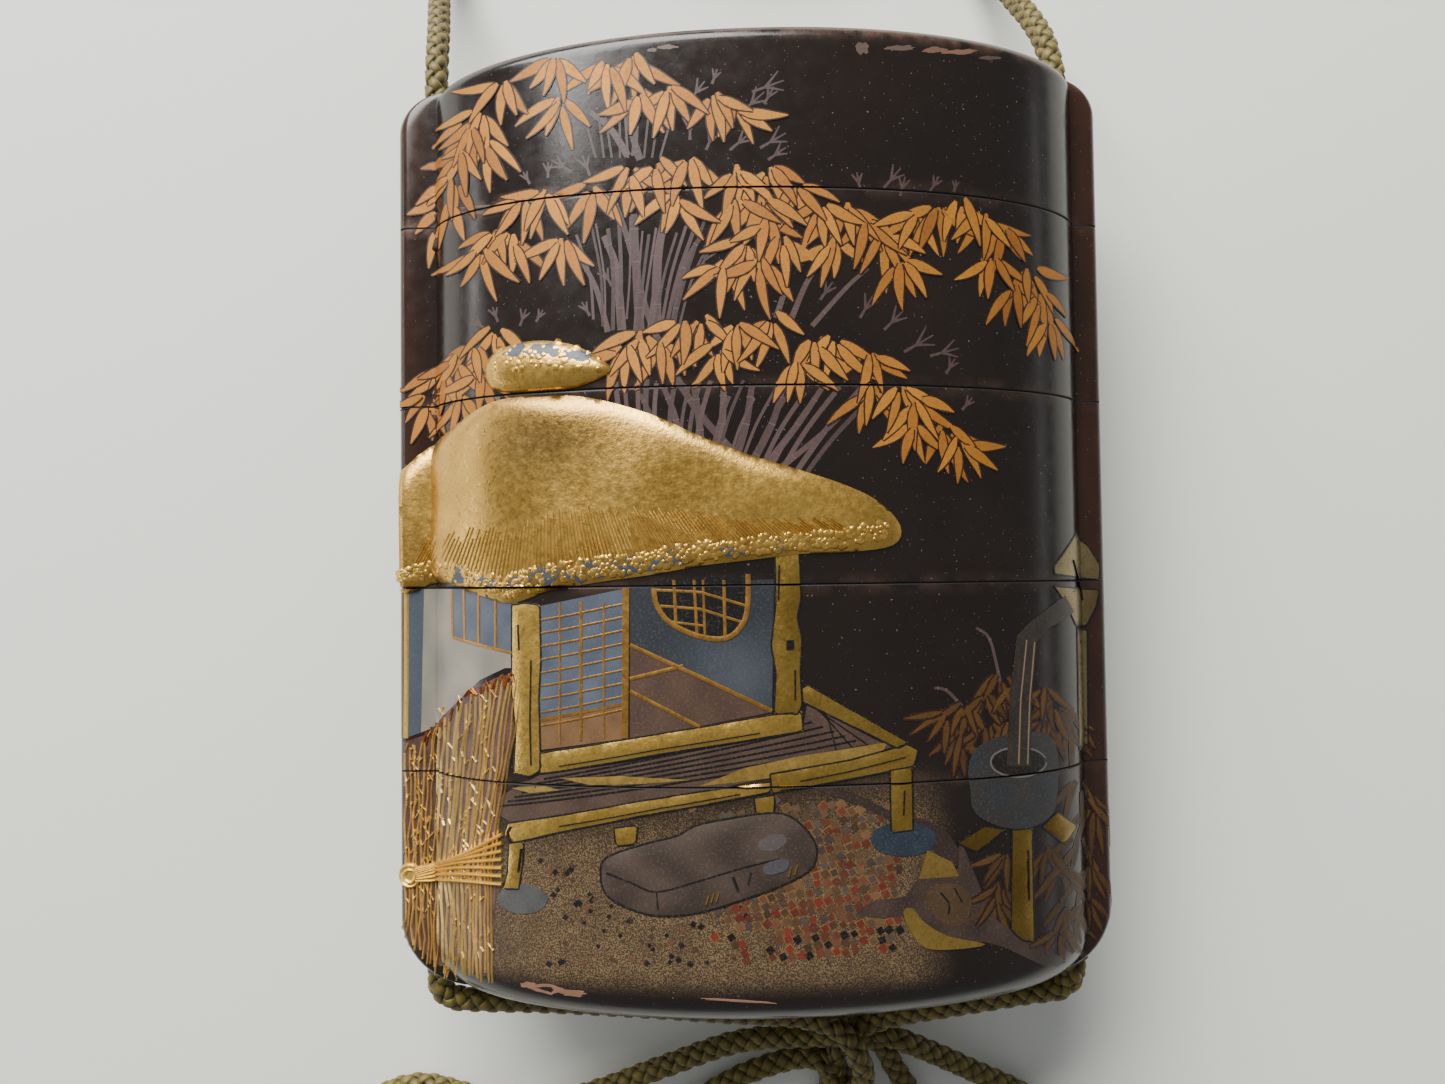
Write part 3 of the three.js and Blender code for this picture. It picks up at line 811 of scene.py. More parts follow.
class Inlay:
    """Gathers flat shapes of one group, laid on the front and cut at the joints, into one piece."""

    def __init__(self):
        self.v, self.f, self.c, self.n = [], [], [], 0

    def add(self, xy, lift, faces, colour):
        xy = np.asarray(xy, float)
        lift = np.broadcast_to(np.asarray(lift, float), (len(xy),))
        c = np.asarray(colour, float)
        c = np.tile(c, (len(xy), 1)) if c.ndim == 1 else c
        faces = [tuple(int(q) for q in f) for f in faces]
        for lo, hi in SPANS:
            within = (xy[:, 1] > lo) & (xy[:, 1] < hi)
            if not within.any():
                continue
            keep = [f for f in faces if any(within[q] for q in f)]
            used = sorted({q for f in keep for q in f})
            new = {q: i for i, q in enumerate(used)}
            part = xy[used].copy()
            part[:, 1] = np.clip(part[:, 1], lo, hi)
            up, m = lift[used], len(used)
            keep = [tuple(new[q] for q in f) for f in keep]
            edges = {}
            for f in keep:
                for a, b in zip(f, f[1:] + f[:1]):
                    edges[(a, b)] = True
            rim = [(a, b) for a, b in edges if (b, a) not in edges]
            self.v += [on_front(part, up), on_front(part, np.full(m, -0.05))]
            # painted shade: the buried lower copy is 0.6 as bright, so each side wall darkens towards its
            # foot
            self.c += [c[used], c[used] * 0.6]
            self.f += [[q + self.n for q in f] for f in keep]
            self.f += [[self.n + b, self.n + a, self.n + m + a, self.n + m + b] for a, b in rim]
            self.n += 2 * m

    def strip(self, px, widths, colour, lift=0.03, crown=0.0, step=0.55):
        """A stroke along pixels, widths in mm at each point, two quads across."""
        line = cast(px)
        w = np.broadcast_to(np.asarray(widths, float), (len(line),))
        s = distances(line)
        step = min(step, FINE) if np.abs(line[:, 0]).max() > STEEP_LINE_X else step
        n = max(2, int(s[-1] / step) + 2)
        line = spaced(line, n)
        w = np.interp(np.linspace(0, s[-1], n), s, w)
        t = np.gradient(line, axis=0)
        t /= np.maximum(np.linalg.norm(t, axis=1), 1e-9)[:, None]
        side = np.stack([-t[:, 1], t[:, 0]], 1)
        xy = np.concatenate([line + side * (k * w)[:, None] for k in (-0.5, 0, 0.5)])
        base = np.zeros(n) + lift
        self.add(xy, np.concatenate([base, base + crown, base]), two_rows(n), colour)

    def patch(self, px, colour, lift=0.02, grid=0.9, shade=None, height=None):
        """A filled outline. shade(xy) may give colours, height(xy, edge distance) lifts."""
        line = cast(px)
        rim = []
        for a, b in zip(line, np.roll(line, -1, axis=0)):
            steep = max(abs(a[0]), abs(b[0])) > STEEP_X
            k = max(1, int(np.linalg.norm(b - a) / (min(grid, FINE) if steep else grid)))
            rim += [a + (b - a) * i / k for i in range(k)]
        rim = np.array(rim)
        m = len(rim)
        lo, hi = rim.min(0), rim.max(0)
        gx, gy = np.meshgrid(np.arange(lo[0], hi[0], grid), np.arange(lo[1], hi[1], grid))
        gx[::2] += grid / 2
        cand = np.stack([gx.ravel(), gy.ravel()], 1)
        far = max(abs(lo[0]), abs(hi[0])) > STEEP_X
        if far:
            cand = cand[np.abs(cand[:, 0]) < STEEP_X]
            steps = np.concatenate([np.arange(STEEP_X + 0.2, 32, FINE), [CREASE - 0.03, CREASE + 0.03]])
            for way in (-1, 1):
                columns = way * steps + BODY_SHIFT
                gx, gy = np.meshgrid(columns, np.arange(lo[1], hi[1], min(grid, 2 * FINE)))
                cand = np.concatenate([cand, np.stack([gx.ravel(), gy.ravel()], 1)])
        cand = cand[inside(cand, rim)]
        if len(cand):
            cand = cand[nearness(cand, rim) > (0.12 if far else 0.35 * grid)]
        every = np.concatenate([rim, cand]) if len(cand) else rim
        loop_edges = [(i, (i + 1) % m) for i in range(m)]
        res = delaunay_2d_cdt([Vector(p) for p in every], loop_edges, [list(range(m))], 1, 1e-6)
        xy = np.array([tuple(p) for p in res[0]])
        faces = []
        for t in res[2]:
            a, b, c = xy[list(t)]
            ccw = (b[0] - a[0]) * (c[1] - a[1]) - (b[1] - a[1]) * (c[0] - a[0]) > 0
            faces.append(tuple(t) if ccw else tuple(t)[::-1])
        up = lift if height is None else height(xy, nearness(xy, rim))
        self.add(xy, up, faces, np.asarray(colour, float) if shade is None else shade(xy))

    def build(self, name, slot, material):
        obj = add_mesh(name, np.concatenate(self.v), self.f, sharp=55, colours=np.concatenate(self.c))
        put(obj, slot, material)


def two_rows(n):
    """Faces of a strip of three lines of n points."""
    rows = []
    for r in range(2):
        rows += [(r * n + i, r * n + i + 1, (r + 1) * n + i + 1, (r + 1) * n + i) for i in range(n - 1)]
    return rows


def nearness(p, rim):
    """Distance of each point to the nearest segment of a closed outline."""
    a, b = rim, np.roll(rim, -1, axis=0)
    d = b - a
    out = np.empty(len(p))
    for i in range(0, len(p), 400):
        q = p[i:i + 400, None] - a[None]
        t = np.clip((q * d).sum(-1) / np.maximum((d * d).sum(-1), 1e-12), 0, 1)
        out[i:i + 400] = np.linalg.norm(q - t[..., None] * d, axis=-1).min(1)
    return out


def inside(p, poly):
    x, y = p[:, 0][:, None], p[:, 1][:, None]
    a, b = poly, np.roll(poly, -1, axis=0)
    cross = (a[None, :, 1] > y) != (b[None, :, 1] > y)
    dy = np.where(b[:, 1] == a[:, 1], 1e-9, b[:, 1] - a[:, 1])
    xi = (b[:, 0] - a[:, 0])[None] * (y - a[None, :, 1]) / dy[None] + a[None, :, 0]
    return (cross & (x < xi)).sum(1) % 2 == 1


def srgb(r, g, b):
    c = np.array([r, g, b]) / 255
    return np.where(c <= 0.04045, c / 12.92, ((c + 0.055) / 1.055) ** 2.4)


def curve(points, closed=False, per=6):
    """A smooth line through pixels."""
    p = [np.array(q, float) for q in points]
    p = [p[-1]] + p + [p[0], p[1]] if closed else [2 * p[0] - p[1]] + p + [2 * p[-1] - p[-2]]
    out = []
    for i in range(1, len(p) - 2):
        for t in np.arange(per) / per:
            out.append(0.5 * (2 * p[i] + (p[i + 1] - p[i - 1]) * t
                              + (2 * p[i - 1] - 5 * p[i] + 4 * p[i + 1] - p[i + 2]) * t ** 2
                              + (3 * p[i] - p[i - 1] - 3 * p[i + 1] + p[i + 2]) * t ** 3))
    if not closed:
        out.append(p[-2])
    return np.array(out)


def ellipse(cu, cv, ru, rv, n=22, rough=0.0, rng=None, tilt=0.0):
    a = np.arange(n) * 2 * math.pi / n
    k = np.array([1 + rough * (rng.random() - 0.5) for _ in a]) if rng else np.ones(n)
    x, y = ru * k * np.cos(a), rv * k * np.sin(a)
    c, s = math.cos(tilt), math.sin(tilt)
    return np.stack([cu + x * c - y * s, cv + x * s + y * c], 1)


RNG = random.Random(11)

# Bamboo: sprays of leaves that hang in fans, on grey stems
LEAF = srgb(188, 126, 40)
LEAF_DEEP = srgb(146, 82, 26)
SHADE = srgb(44, 22, 12)
STEM = srgb(80, 63, 61)
leaves, shades, stems = Inlay(), Inlay(), Inlay()
LEAF_SHARES = np.array([0, 0.12, 0.3, 0.5, 0.72, 0.88, 1.0])
LEAF_WIDTHS = np.array([0.30, 0.78, 1.0, 0.92, 0.62, 0.32, 0.04])
BUSH_SHADE = srgb(40, 17, 9)
BUSH_GOLD, BUSH_GOLD_LOW = srgb(104, 72, 28), srgb(94, 68, 30)
SPRAY_LEAVES = 5
LEVELS = 12
level_count = itertools.count(0, 5)


def leaf(u, v, angle, length, width, level, tone, bush=None):
    """angle in degrees, 90 straight down the view; length in pixels, width in mm; bush is a colour."""
    a = math.radians(angle)
    bend = math.radians(angle + RNG.uniform(-12, 12))
    pts = []
    for s in LEAF_SHARES:
        b = a + (bend - a) * s
        pts.append((u + length * s * math.cos(b), v + length * s * math.sin(b)))
    if bush is None:
        colour, outline, rim, rise = LEAF * (1 - tone) + LEAF_DEEP * tone, SHADE, 0.26, 0.006
    else:
        colour, outline, rim, rise = bush * (1 - 0.4 * tone), BUSH_SHADE, 0.36, 0.003
    lift = 0.018 + rise * level
    shades.strip(pts, LEAF_WIDTHS * width + rim, outline, lift, step=0.9)
    leaves.strip(pts, LEAF_WIDTHS * width, colour * RNG.uniform(0.84, 1.08), lift + 0.003, crown=0.002,
                 step=0.7)


def spray(u, v, middle, spread, size, tone, bush=None, width=0.80):
    """A fan of leaves that hang from one point of a twig."""
    for i in sorted(range(SPRAY_LEAVES), key=lambda _: RNG.random()):
        share = (i + 0.5) / SPRAY_LEAVES * 2 - 1
        angle = middle + spread * share + RNG.uniform(-8, 8)
        length = size * RNG.uniform(0.8, 1.16) * (1 - 0.1 * abs(share))
        start = (u - 7 * share + RNG.uniform(-2, 2), v + RNG.uniform(-3, 10))
        wide = width * RNG.uniform(0.85, 1.12)
        deep = min(1, max(0, tone + RNG.uniform(-0.1, 0.5)))
        leaf(*start, angle, length, wide, next(level_count) % LEVELS, deep, bush)


FANS = [
    # the highest tier
    (480, 112, 108), (502, 82, 112), (553, 60, 100), (607, 60, 92), (632, 56, 86), (560, 100, 100),
    (638, 92, 96), (668, 88, 84), (714, 94, 76), (736, 102, 66), (468, 124, 108), (458, 152, 108),
    (452, 180, 104), (486, 138, 92),
    # the second
    (522, 196, 112), (546, 188, 102), (592, 186, 95), (630, 168, 94), (656, 160, 90), (690, 160, 88),
    (736, 166, 84), (770, 168, 76), (796, 184, 68), (676, 194, 92), (736, 200, 84), (762, 196, 80),
    (496, 232, 108), (480, 248, 108), (514, 236, 94), (562, 240, 100), (766, 218, 100), (746, 240, 106),
    (722, 262, 116), (782, 238, 84), (760, 262, 96), (822, 204, 92), (846, 204, 80), (866, 216, 74),
    (886, 236, 68), (902, 262, 74), (832, 240, 98), (936, 204, 106), (916, 212, 122), (960, 200, 90),
    (984, 214, 78), (1004, 230, 74), (1030, 270, 74), (1040, 296, 76), (1050, 318, 84), (992, 252, 92),
    (1014, 282, 88),
    # the lowest
    (496, 328, 92), (472, 344, 102), (456, 356, 108), (440, 372, 108), (426, 398, 108), (480, 372, 96),
    (460, 394, 100), (640, 332, 108), (622, 346, 122), (660, 342, 95), (682, 320, 100), (702, 316, 88),
    (736, 324, 90), (720, 346, 95), (770, 314, 96), (816, 340, 84), (836, 338, 78), (800, 356, 84),
    (870, 350, 74), (902, 386, 76), (916, 400, 72), (946, 428, 66), (962, 440, 62), (872, 386, 92),
    (914, 424, 84),
]
EDGE_LEFT, EDGE_RIGHT = 475, 1000  # sprays outside these pixels are narrower and deeper
BUSH_MIDDLE = 750
for u, v, middle in FANS:
    if EDGE_LEFT <= u <= EDGE_RIGHT:
        spray(u, v, middle, 66, 46, 0.0)
    else:
        spray(u, v, middle, 54, 40, 0.2)
LOOSE_LEAVES = [
    (435, 204, 162, 30), (436, 213, 142, 30), (439, 226, 112, 44), (447, 204, 100, 46), (455, 208, 78, 34),
]
BUSHES = [
    (946, 712, 118), (964, 700, 100), (984, 692, 96), (1000, 674, 92), (1014, 690, 86), (960, 736, 104),
    (986, 722, 96), (1012, 716, 92), (1044, 690, 96), (1058, 704, 84), (1070, 722, 84), (1044, 724, 96),
    (1004, 856, 112), (1000, 884, 100), (1046, 848, 96), (1062, 862, 84), (1080, 784, 90), (1092, 806, 92),
    (1078, 840, 92), (1090, 866, 92), (1070, 906, 100), (1086, 900, 84), (1060, 926, 96), (996, 900, 100),
]
for u, v, angle, length in LOOSE_LEAVES:
    leaf(u, v, angle, length, 0.9, 3, 0.3)
# bushes beside the basin
for u, v, middle in BUSHES:
    spray(u, v, middle, 52, 38, 0.3, BUSH_GOLD if v < BUSH_MIDDLE else BUSH_GOLD_LOW, 0.50)

STEMS = [
    ([(742, 462), (690, 400), (650, 320), (628, 240), (610, 190)], 0.62),
    ([(640, 332), (636, 262), (634, 214)], 0.80), ([(656, 330), (658, 256), (668, 206)], 0.84),
    ([(622, 330), (616, 268), (604, 236)], 0.74), ([(608, 332), (596, 288), (582, 262)], 0.5),
    ([(672, 330), (684, 268), (702, 234)], 0.5), ([(628, 156), (610, 128), (590, 112)], 0.6),
    ([(640, 160), (632, 134), (622, 104)], 0.6), ([(634, 156), (636, 128), (634, 112)], 0.5),
    ([(700, 470), (700, 430), (694, 384)], 0.7), ([(716, 468), (722, 424), (724, 382)], 0.7),
    ([(732, 470), (746, 424), (752, 384)], 0.7), ([(748, 470), (772, 424), (784, 384)], 0.66),
    ([(764, 468), (798, 424), (822, 388)], 0.6), ([(778, 470), (824, 432), (858, 398)], 0.5),
    ([(680, 460), (676, 420), (664, 388)], 0.6), ([(666, 450), (652, 418), (640, 394)], 0.5),
    ([(790, 322), (806, 284), (820, 262)], 0.5), ([(776, 318), (786, 286), (790, 262)], 0.5),
    ([(812, 326), (846, 288), (868, 268)], 0.42), ([(1002, 690), (990, 640), (976, 628)], 0.3),
    ([(962, 706), (946, 690), (934, 688)], 0.3),
]
NODE_EVERY = 4  # points of a stem from one ring to the next
for pts, w in STEMS:
    line = curve(pts)
    stems.strip(line, np.linspace(w, w * 0.7, len(line)), STEM * RNG.uniform(0.75, 1.1), 0.012)
    for k in range(2, len(line) - 1, NODE_EVERY):
        d = line[k + 1] - line[k]
        d = np.array([-d[1], d[0]]) / np.linalg.norm(d) * (w * 5.5)
        stems.strip([line[k] - d, line[k] + d], 0.09, STEM * 1.5, 0.02)
GRASS, GRASS_LEFT, GRASS_WIDE, GRASS_TOP = 19, 612, 196, 380
GROUND_U, GROUND_V = (600, 650, 700, 750, 810), (402, 418, 440, 458, 476)
for i in range(GRASS):
    share = (i + RNG.uniform(0.1, 0.9)) / GRASS
    u = GRASS_LEFT + GRASS_WIDE * share
    v = np.interp(u, GROUND_U, GROUND_V) + 6
    lean = math.radians(-8 + 50 * share)
    rise = RNG.uniform(0.75, 1.05) * (v - GRASS_TOP) / max(math.cos(lean), 0.6)
    end = (u + rise * math.sin(lean), v - rise * math.cos(lean))
    middle = ((u + end[0]) / 2 - 4 * share, (v + end[1]) / 2)
    stems.strip(curve([(u, v), middle, end]), RNG.uniform(0.24, 0.46), STEM * RNG.uniform(0.7, 1.15), 0.014)
THIN_STEMS, LOW_STEMS = 15, 9
THIN_U, THIN_TOP_U = (592, 92), (574, 150)  # left end and width in pixels
THIN_FOOT, THIN_MIDDLE, THIN_TOP = (318, 334), 276, (214, 246)
LOW_FOOT, LOW_TOP = (596, 158), (106, 124)
for i in range(THIN_STEMS):
    share = (i + RNG.uniform(0.1, 0.9)) / THIN_STEMS
    u, top = THIN_U[0] + THIN_U[1] * share, THIN_TOP_U[0] + THIN_TOP_U[1] * share
    foot, middle = (u, RNG.uniform(*THIN_FOOT)), ((u + top) / 2 + 5 - 10 * share, THIN_MIDDLE)
    line = curve([foot, middle, (top, RNG.uniform(*THIN_TOP))])
    stems.strip(line, RNG.uniform(0.16, 0.34), STEM * RNG.uniform(0.6, 1.1), 0.014)
for i in range(LOW_STEMS):
    u = LOW_FOOT[0] + 8 * i
    tip = (u + RNG.uniform(-3, 3) - 10 + 2.4 * i, RNG.uniform(*LOW_TOP))
    stems.strip([(u, LOW_FOOT[1]), tip], 0.2, STEM * RNG.uniform(0.6, 1.0), 0.014)
TWIGS = [
    (690, 100, -52, 24), (712, 84, -70, 16), (742, 112, -42, 30), (752, 92, -20, 34), (764, 104, -60, 20),
    (706, 150, -66, 22), (730, 150, -40, 28), (760, 148, -30, 30), (690, 140, -90, 24),
    (590, 176, -110, 22), (572, 172, -150, 24), (530, 184, -120, 14), (548, 178, -90, 16),
    (612, 220, -110, 18), (768, 160, -35, 22), (884, 188, -50, 26), (900, 196, -75, 20),
    (930, 192, -60, 18), (860, 190, -100, 18), (954, 192, -80, 12), (498, 322, -110, 16),
    (520, 326, -70, 18), (486, 330, -140, 18), (536, 322, -60, 14), (612, 286, -120, 20),
    (700, 268, -60, 24), (716, 292, -50, 20), (884, 330, -45, 28), (904, 352, -30, 34), (930, 356, -15, 30),
    (860, 318, -60, 26), (946, 374, -60, 18), (820, 300, -55, 22), (962, 410, -50, 16),
    (590, 316, -120, 16),
]
# bare twigs
for u, v, a, size in TWIGS:
    for branch, (turn, k) in enumerate(((0, 1.0), (-32, 0.6), (30, 0.55))):
        b = math.radians(a + turn)
        s0 = 0 if branch == 0 else 0.42 * size
        u0, v0 = u + s0 * math.cos(math.radians(a)), v + s0 * math.sin(math.radians(a))
        stems.strip([(u0, v0), (u0 + size * k * math.cos(b), v0 + size * k * math.sin(b))], (0.26, 0.12),
                    STEM * 0.85, 0.012)

# Hut walls and floor, in coloured powders
paint, gold = Inlay(), Inlay()
GREY, SLATE, BLUE = srgb(118, 115, 106), srgb(60, 65, 72), srgb(66, 74, 88)
MAT, PLANK, DARK = srgb(68, 50, 42), srgb(66, 50, 42), srgb(12, 9, 9)
TAN, BRIGHT, DULL = srgb(182, 136, 70), np.array([0.80, 0.52, 0.12]), np.array([0.50, 0.33, 0.09])


def mottled(colour, other, scale=0.6, seed=0.0):
    def shade(xy):
        k = 0.5 + 0.5 * np.sin(scale * xy[:, 0] * 1.7 + seed) * np.sin(scale * xy[:, 1] * 1.3 + 2 * seed)
        return colour[None] * (1 - k[:, None]) + other[None] * k[:, None]
    return shade


WALL = [(409, 589), (518, 589), (518, 668), (505, 668), (480, 680), (455, 705), (435, 727), (409, 737)]
WALL_SHADE = [(409, 589), (424, 589), (421, 732), (409, 737)]
WALL_EDGE = [(405, 590), (404, 738)]
WINDOW = [(452, 589), (512, 589), (512, 652), (453, 637)]
WINDOW_BARS = [
    [(452, 590), (453, 637), (512, 653)], [(464, 590), (465, 640)], [(479, 590), (479, 643)],
    [(496, 592), (496, 647)],
]
DOOR = [(540, 606), (628, 588), (628, 702), (540, 718)]
DOOR_BASE = [(540, 718), (628, 702), (628, 738), (540, 750)]
DOOR_BARS = [(560, 0.16), (581, 0.26), (604, 0.18)]
DOOR_EDGE = [(626, 588), (625, 738)]
DOOR_RAIL = [(541, 720), (628, 703)]
paint.patch(WALL, GREY, 0.02, shade=mottled(GREY, srgb(140, 134, 120), 0.7))
paint.patch(WALL_SHADE, srgb(66, 74, 84), 0.032)
gold.strip(WALL_EDGE, 0.9, DULL * 1.1, 0.03)
paint.patch(WINDOW, BLUE, 0.034, shade=mottled(BLUE, srgb(82, 88, 98), 1.1))
for pts in WINDOW_BARS:
    gold.strip(pts, 0.22, TAN, 0.06, crown=0.03)
paint.patch(DOOR, BLUE, 0.02, shade=mottled(BLUE, srgb(80, 88, 100), 0.9, 1))
OCHRE = srgb(118, 88, 56)
paint.patch(DOOR_BASE, OCHRE, 0.02, shade=mottled(OCHRE, srgb(96, 70, 46), 1.3))
SLATS, SLAT_TOP, SLAT_STEP, SLAT_U = 9, 620, 13.2, (541, 570, 627)
for i in range(SLATS):
    v = SLAT_TOP + i * SLAT_STEP
    gold.strip(list(zip(SLAT_U, (v, v - 5, v - 17))), 0.15, TAN, 0.05, crown=0.02)
BAR_TOP, BAR_LOW, BAR_LEFT = 602, 746, 540
for u, w in DOOR_BARS:
    gold.strip([(u, BAR_TOP), (u, BAR_LOW - (u - BAR_LEFT) * 0.13)], w, TAN, 0.05, crown=0.03)
gold.strip(DOOR_EDGE, 0.55, TAN * 0.95, 0.05, crown=0.03)
gold.strip(DOOR_RAIL, 0.24, TAN, 0.05)
ROOM = [(630, 586), (774, 579), (772, 711), (630, 645)]
ROOM_LIGHT, ROOM_SPREAD = (-2.2, -12.5), (4.0, 3.2)


def room_shade(xy):
    far = ((xy - ROOM_LIGHT) / ROOM_SPREAD) ** 2
    return SLATE[None] * (0.45 + 0.7 * np.exp(-far[:, 0] - far[:, 1]))[:, None]


paint.patch(ROOM, SLATE, 0.02, shade=room_shade)
ROUND_LINE = [
    (654, 588), (656, 603), (668, 621), (692, 634), (716, 639), (733, 635), (745, 619), (748, 598),
    (748, 574),
]
ROUND_CORNER = [(654, 580)]
ROOM_BARS = [
    ([(674, 580), (676, 625)], 0.26), ([(694, 580), (697, 633)], 0.24), ([(703, 580), (705, 636)], 0.2),
    ([(724, 580), (725, 637)], 0.26), ([(656, 590), (700, 592), (747, 606)], 0.22),
    ([(660, 606), (700, 609), (742, 622)], 0.22), ([(672, 622), (705, 626)], 0.2),
]
FLOOR_MAT = [(630, 646), (772, 712), (700, 726), (630, 738)]
FLOOR_LINES = [
    ([(630, 645), (700, 677), (772, 711)], 0.34), ([(630, 679), (683, 666)], 0.3),
    ([(630, 691), (700, 727)], 0.3),
]
ROUND = curve(ROUND_LINE)
paint.patch(np.concatenate([ROUND, ROUND_CORNER]), DARK, 0.034)
gold.strip(ROUND, 0.42, TAN, 0.06, crown=0.04)
for pts, w in ROOM_BARS:
    gold.strip(pts, w, TAN, 0.055, crown=0.02)
paint.patch(FLOOR_MAT, MAT, 0.02, shade=mottled(MAT, srgb(80, 60, 48), 1.0))
for pts, w in FLOOR_LINES:
    gold.strip(pts, w, TAN, 0.05, crown=0.03)

# Veranda
BOARD_LEFT, BOARD_RIGHT = ((500, 806), (544, 779)), ((878, 750), (812, 722))
STEP_LEFT, STEP_RIGHT = ((812, 706), (828, 718)), ((886, 744), (836, 750))


def along(ends, f):
    (u0, v0), (u1, v1) = ends
    return (u0 + (u1 - u0) * f, v0 + (v1 - v0) * f)


VERANDA = [
    (494, 811), (500, 796), (540, 775), (802, 732), (808, 700), (896, 746), (800, 772), (640, 801),
    (512, 823),
]
paint.patch(VERANDA, PLANK, 0.02, shade=mottled(PLANK, srgb(78, 60, 50), 0.8))
for f in np.linspace(0, 1, 7):
    a, b = along(BOARD_LEFT, f), along(BOARD_RIGHT, f)
    paint.strip([a, ((a[0] + b[0]) / 2, (a[1] + b[1]) / 2 + 3), b], 0.16, DARK, 0.032)
for f in np.linspace(0, 1, 4):
    paint.strip([along(STEP_LEFT, f), along(STEP_RIGHT, f)], 0.12, DARK, 0.034)
GOLD_BANDS = [
    [(744, 768), (800, 756), (888, 742), (880, 756), (800, 774), (730, 783), (700, 786)],
    [(560, 778), (620, 776), (690, 780), (640, 784), (590, 785)],
    [(512, 788), (545, 785), (560, 790), (530, 793)],
]
for pts in GOLD_BANDS:
    gold.patch(pts, DULL * 1.25, 0.04, grid=1.2)

# Timber, raised a little
timber = Inlay()


def beam(pts, colour=BRIGHT, lift=0.16, seed=0.0):
    timber.patch(pts, colour, grid=0.8, shade=mottled(colour, colour * 0.78, 0.5, seed),
                 height=lambda xy, d: 0.04 + lift * (1 - np.exp(-d / 0.35)))
    shades.strip([*pts, pts[0]], 0.16, DARK * 1.5, 0.05, crown=0.02)


def grain(lines, width=0.12):
    for pts in lines:
        shades.strip(pts, width, DARK, 0.215)


POST = srgb(156, 140, 102)
SILL = [(540, 753), (640, 737), (770, 715), (802, 711), (803, 731), (660, 754), (540, 774)]
CORNER_POST = [
    (512, 605), (526, 603), (540, 605), (541, 660), (539, 700), (541, 770), (530, 777), (514, 773),
    (516, 735), (512, 690),
]
RIGHT_POST = [
    (775, 556), (799, 552), (801, 598), (797, 618), (802, 640), (800, 672), (802, 706), (798, 714),
    (774, 714), (776, 672), (771, 646), (776, 604),
]
RIGHT_RAIL = [(802, 688), (808, 685), (908, 742), (899, 749), (803, 702)]
FRONT_BEAM = [
    (508, 823), (640, 801), (735, 786), (772, 782), (770, 792), (720, 802), (640, 816), (560, 832),
    (512, 843), (504, 834),
]
SIDE_BEAM = [(770, 774), (850, 760), (908, 744), (918, 750), (914, 766), (850, 779), (772, 793)]
FOOT_LEFT = [(509, 843), (524, 841), (523, 862), (519, 889), (503, 889), (508, 872)]
FOOT_RIGHT = [(890, 770), (912, 767), (913, 830), (891, 833)]
FOOT_BACK = [(614, 828), (638, 825), (636, 844), (616, 846)]
FOOT_SMALL = [(754, 798), (775, 795), (774, 813), (756, 814)]
STAKE = [(1012, 830), (1032, 828), (1034, 942), (1022, 940), (1011, 930)]
LEDGE = [(957, 843), (984, 826), (1006, 829), (976, 852)]
LEDGE_RIGHT = [(1042, 827), (1057, 812), (1077, 826), (1064, 844)]
POST_CAP = [(1076, 533), (1088, 546), (1100, 566), (1099, 580), (1076, 577), (1054, 574), (1054, 566)]
POST_HEAD = [(1054, 586), (1074, 588), (1099, 590), (1096, 606), (1086, 626), (1076, 626), (1066, 604)]
POST_LEG = [(1077, 628), (1087, 630), (1088, 745), (1079, 750)]
beam(SILL)
beam(CORNER_POST, seed=1)
beam(RIGHT_POST, BRIGHT * 0.62, seed=2)
beam(RIGHT_RAIL, BRIGHT * 0.66)
beam(FRONT_BEAM, seed=3)
beam(SIDE_BEAM, BRIGHT * 0.72)
beam(FOOT_LEFT, BRIGHT * 0.9)
beam(FOOT_RIGHT, BRIGHT * 0.62)
beam(FOOT_BACK, BRIGHT * 0.9)
beam(FOOT_SMALL, BRIGHT * 0.8)
beam(STAKE, BRIGHT * 0.36)
beam(LEDGE, BRIGHT * 0.34)
beam(LEDGE_RIGHT, BRIGHT * 0.32)
beam(POST_CAP, POST, 0.08)
beam(POST_HEAD, POST * 0.9, 0.08)
beam(POST_LEG, POST, 0.08)
FINE_GRAIN = [
    [(532, 660), (531, 720), (532, 765)], [(519, 625), (520, 650)], [(779, 565), (778, 600)],
    [(795, 670), (795, 700)], [(522, 848), (519, 872)], [(1027, 850), (1028, 900)],
    [(904, 790), (903, 815)], [(1072, 560), (1082, 600)],
]
NOTCH = [[(790, 640), (790, 650)]]
BOARD_GRAIN = [
    [(800, 781), (850, 771), (905, 757)], [(560, 826), (660, 808), (740, 794)],
    [(560, 766), (660, 749), (760, 733)],
]
END_GRAIN = [[(512, 826), (507, 834), (512, 842)]]
grain(FINE_GRAIN)
grain(NOTCH, width=0.62)
grain(BOARD_GRAIN, width=0.1)
grain(END_GRAIN, width=0.16)

# Stones, rock, basin and pipe
SMALL_STONES = [((523, 899, 25, 15), srgb(76, 76, 76)), ((903, 839, 33, 17), srgb(42, 52, 64))]
for place, c in SMALL_STONES:
    paint.patch(ellipse(*place, 26, 0.08, RNG), c, 0.05, shade=mottled(c, c * 0.7, 1.4))
STONE_LINE = [
    (606, 858), (645, 844), (677, 836), (695, 826), (727, 819), (770, 813), (791, 817), (809, 833),
    (817, 850), (813, 866), (799, 877), (770, 890), (738, 901), (709, 910), (681, 915), (652, 915),
    (624, 906), (606, 894), (601, 876),
]
STONE = curve(STONE_LINE, True, 3)
stone = Inlay()
STONE_C = srgb(70, 58, 50)


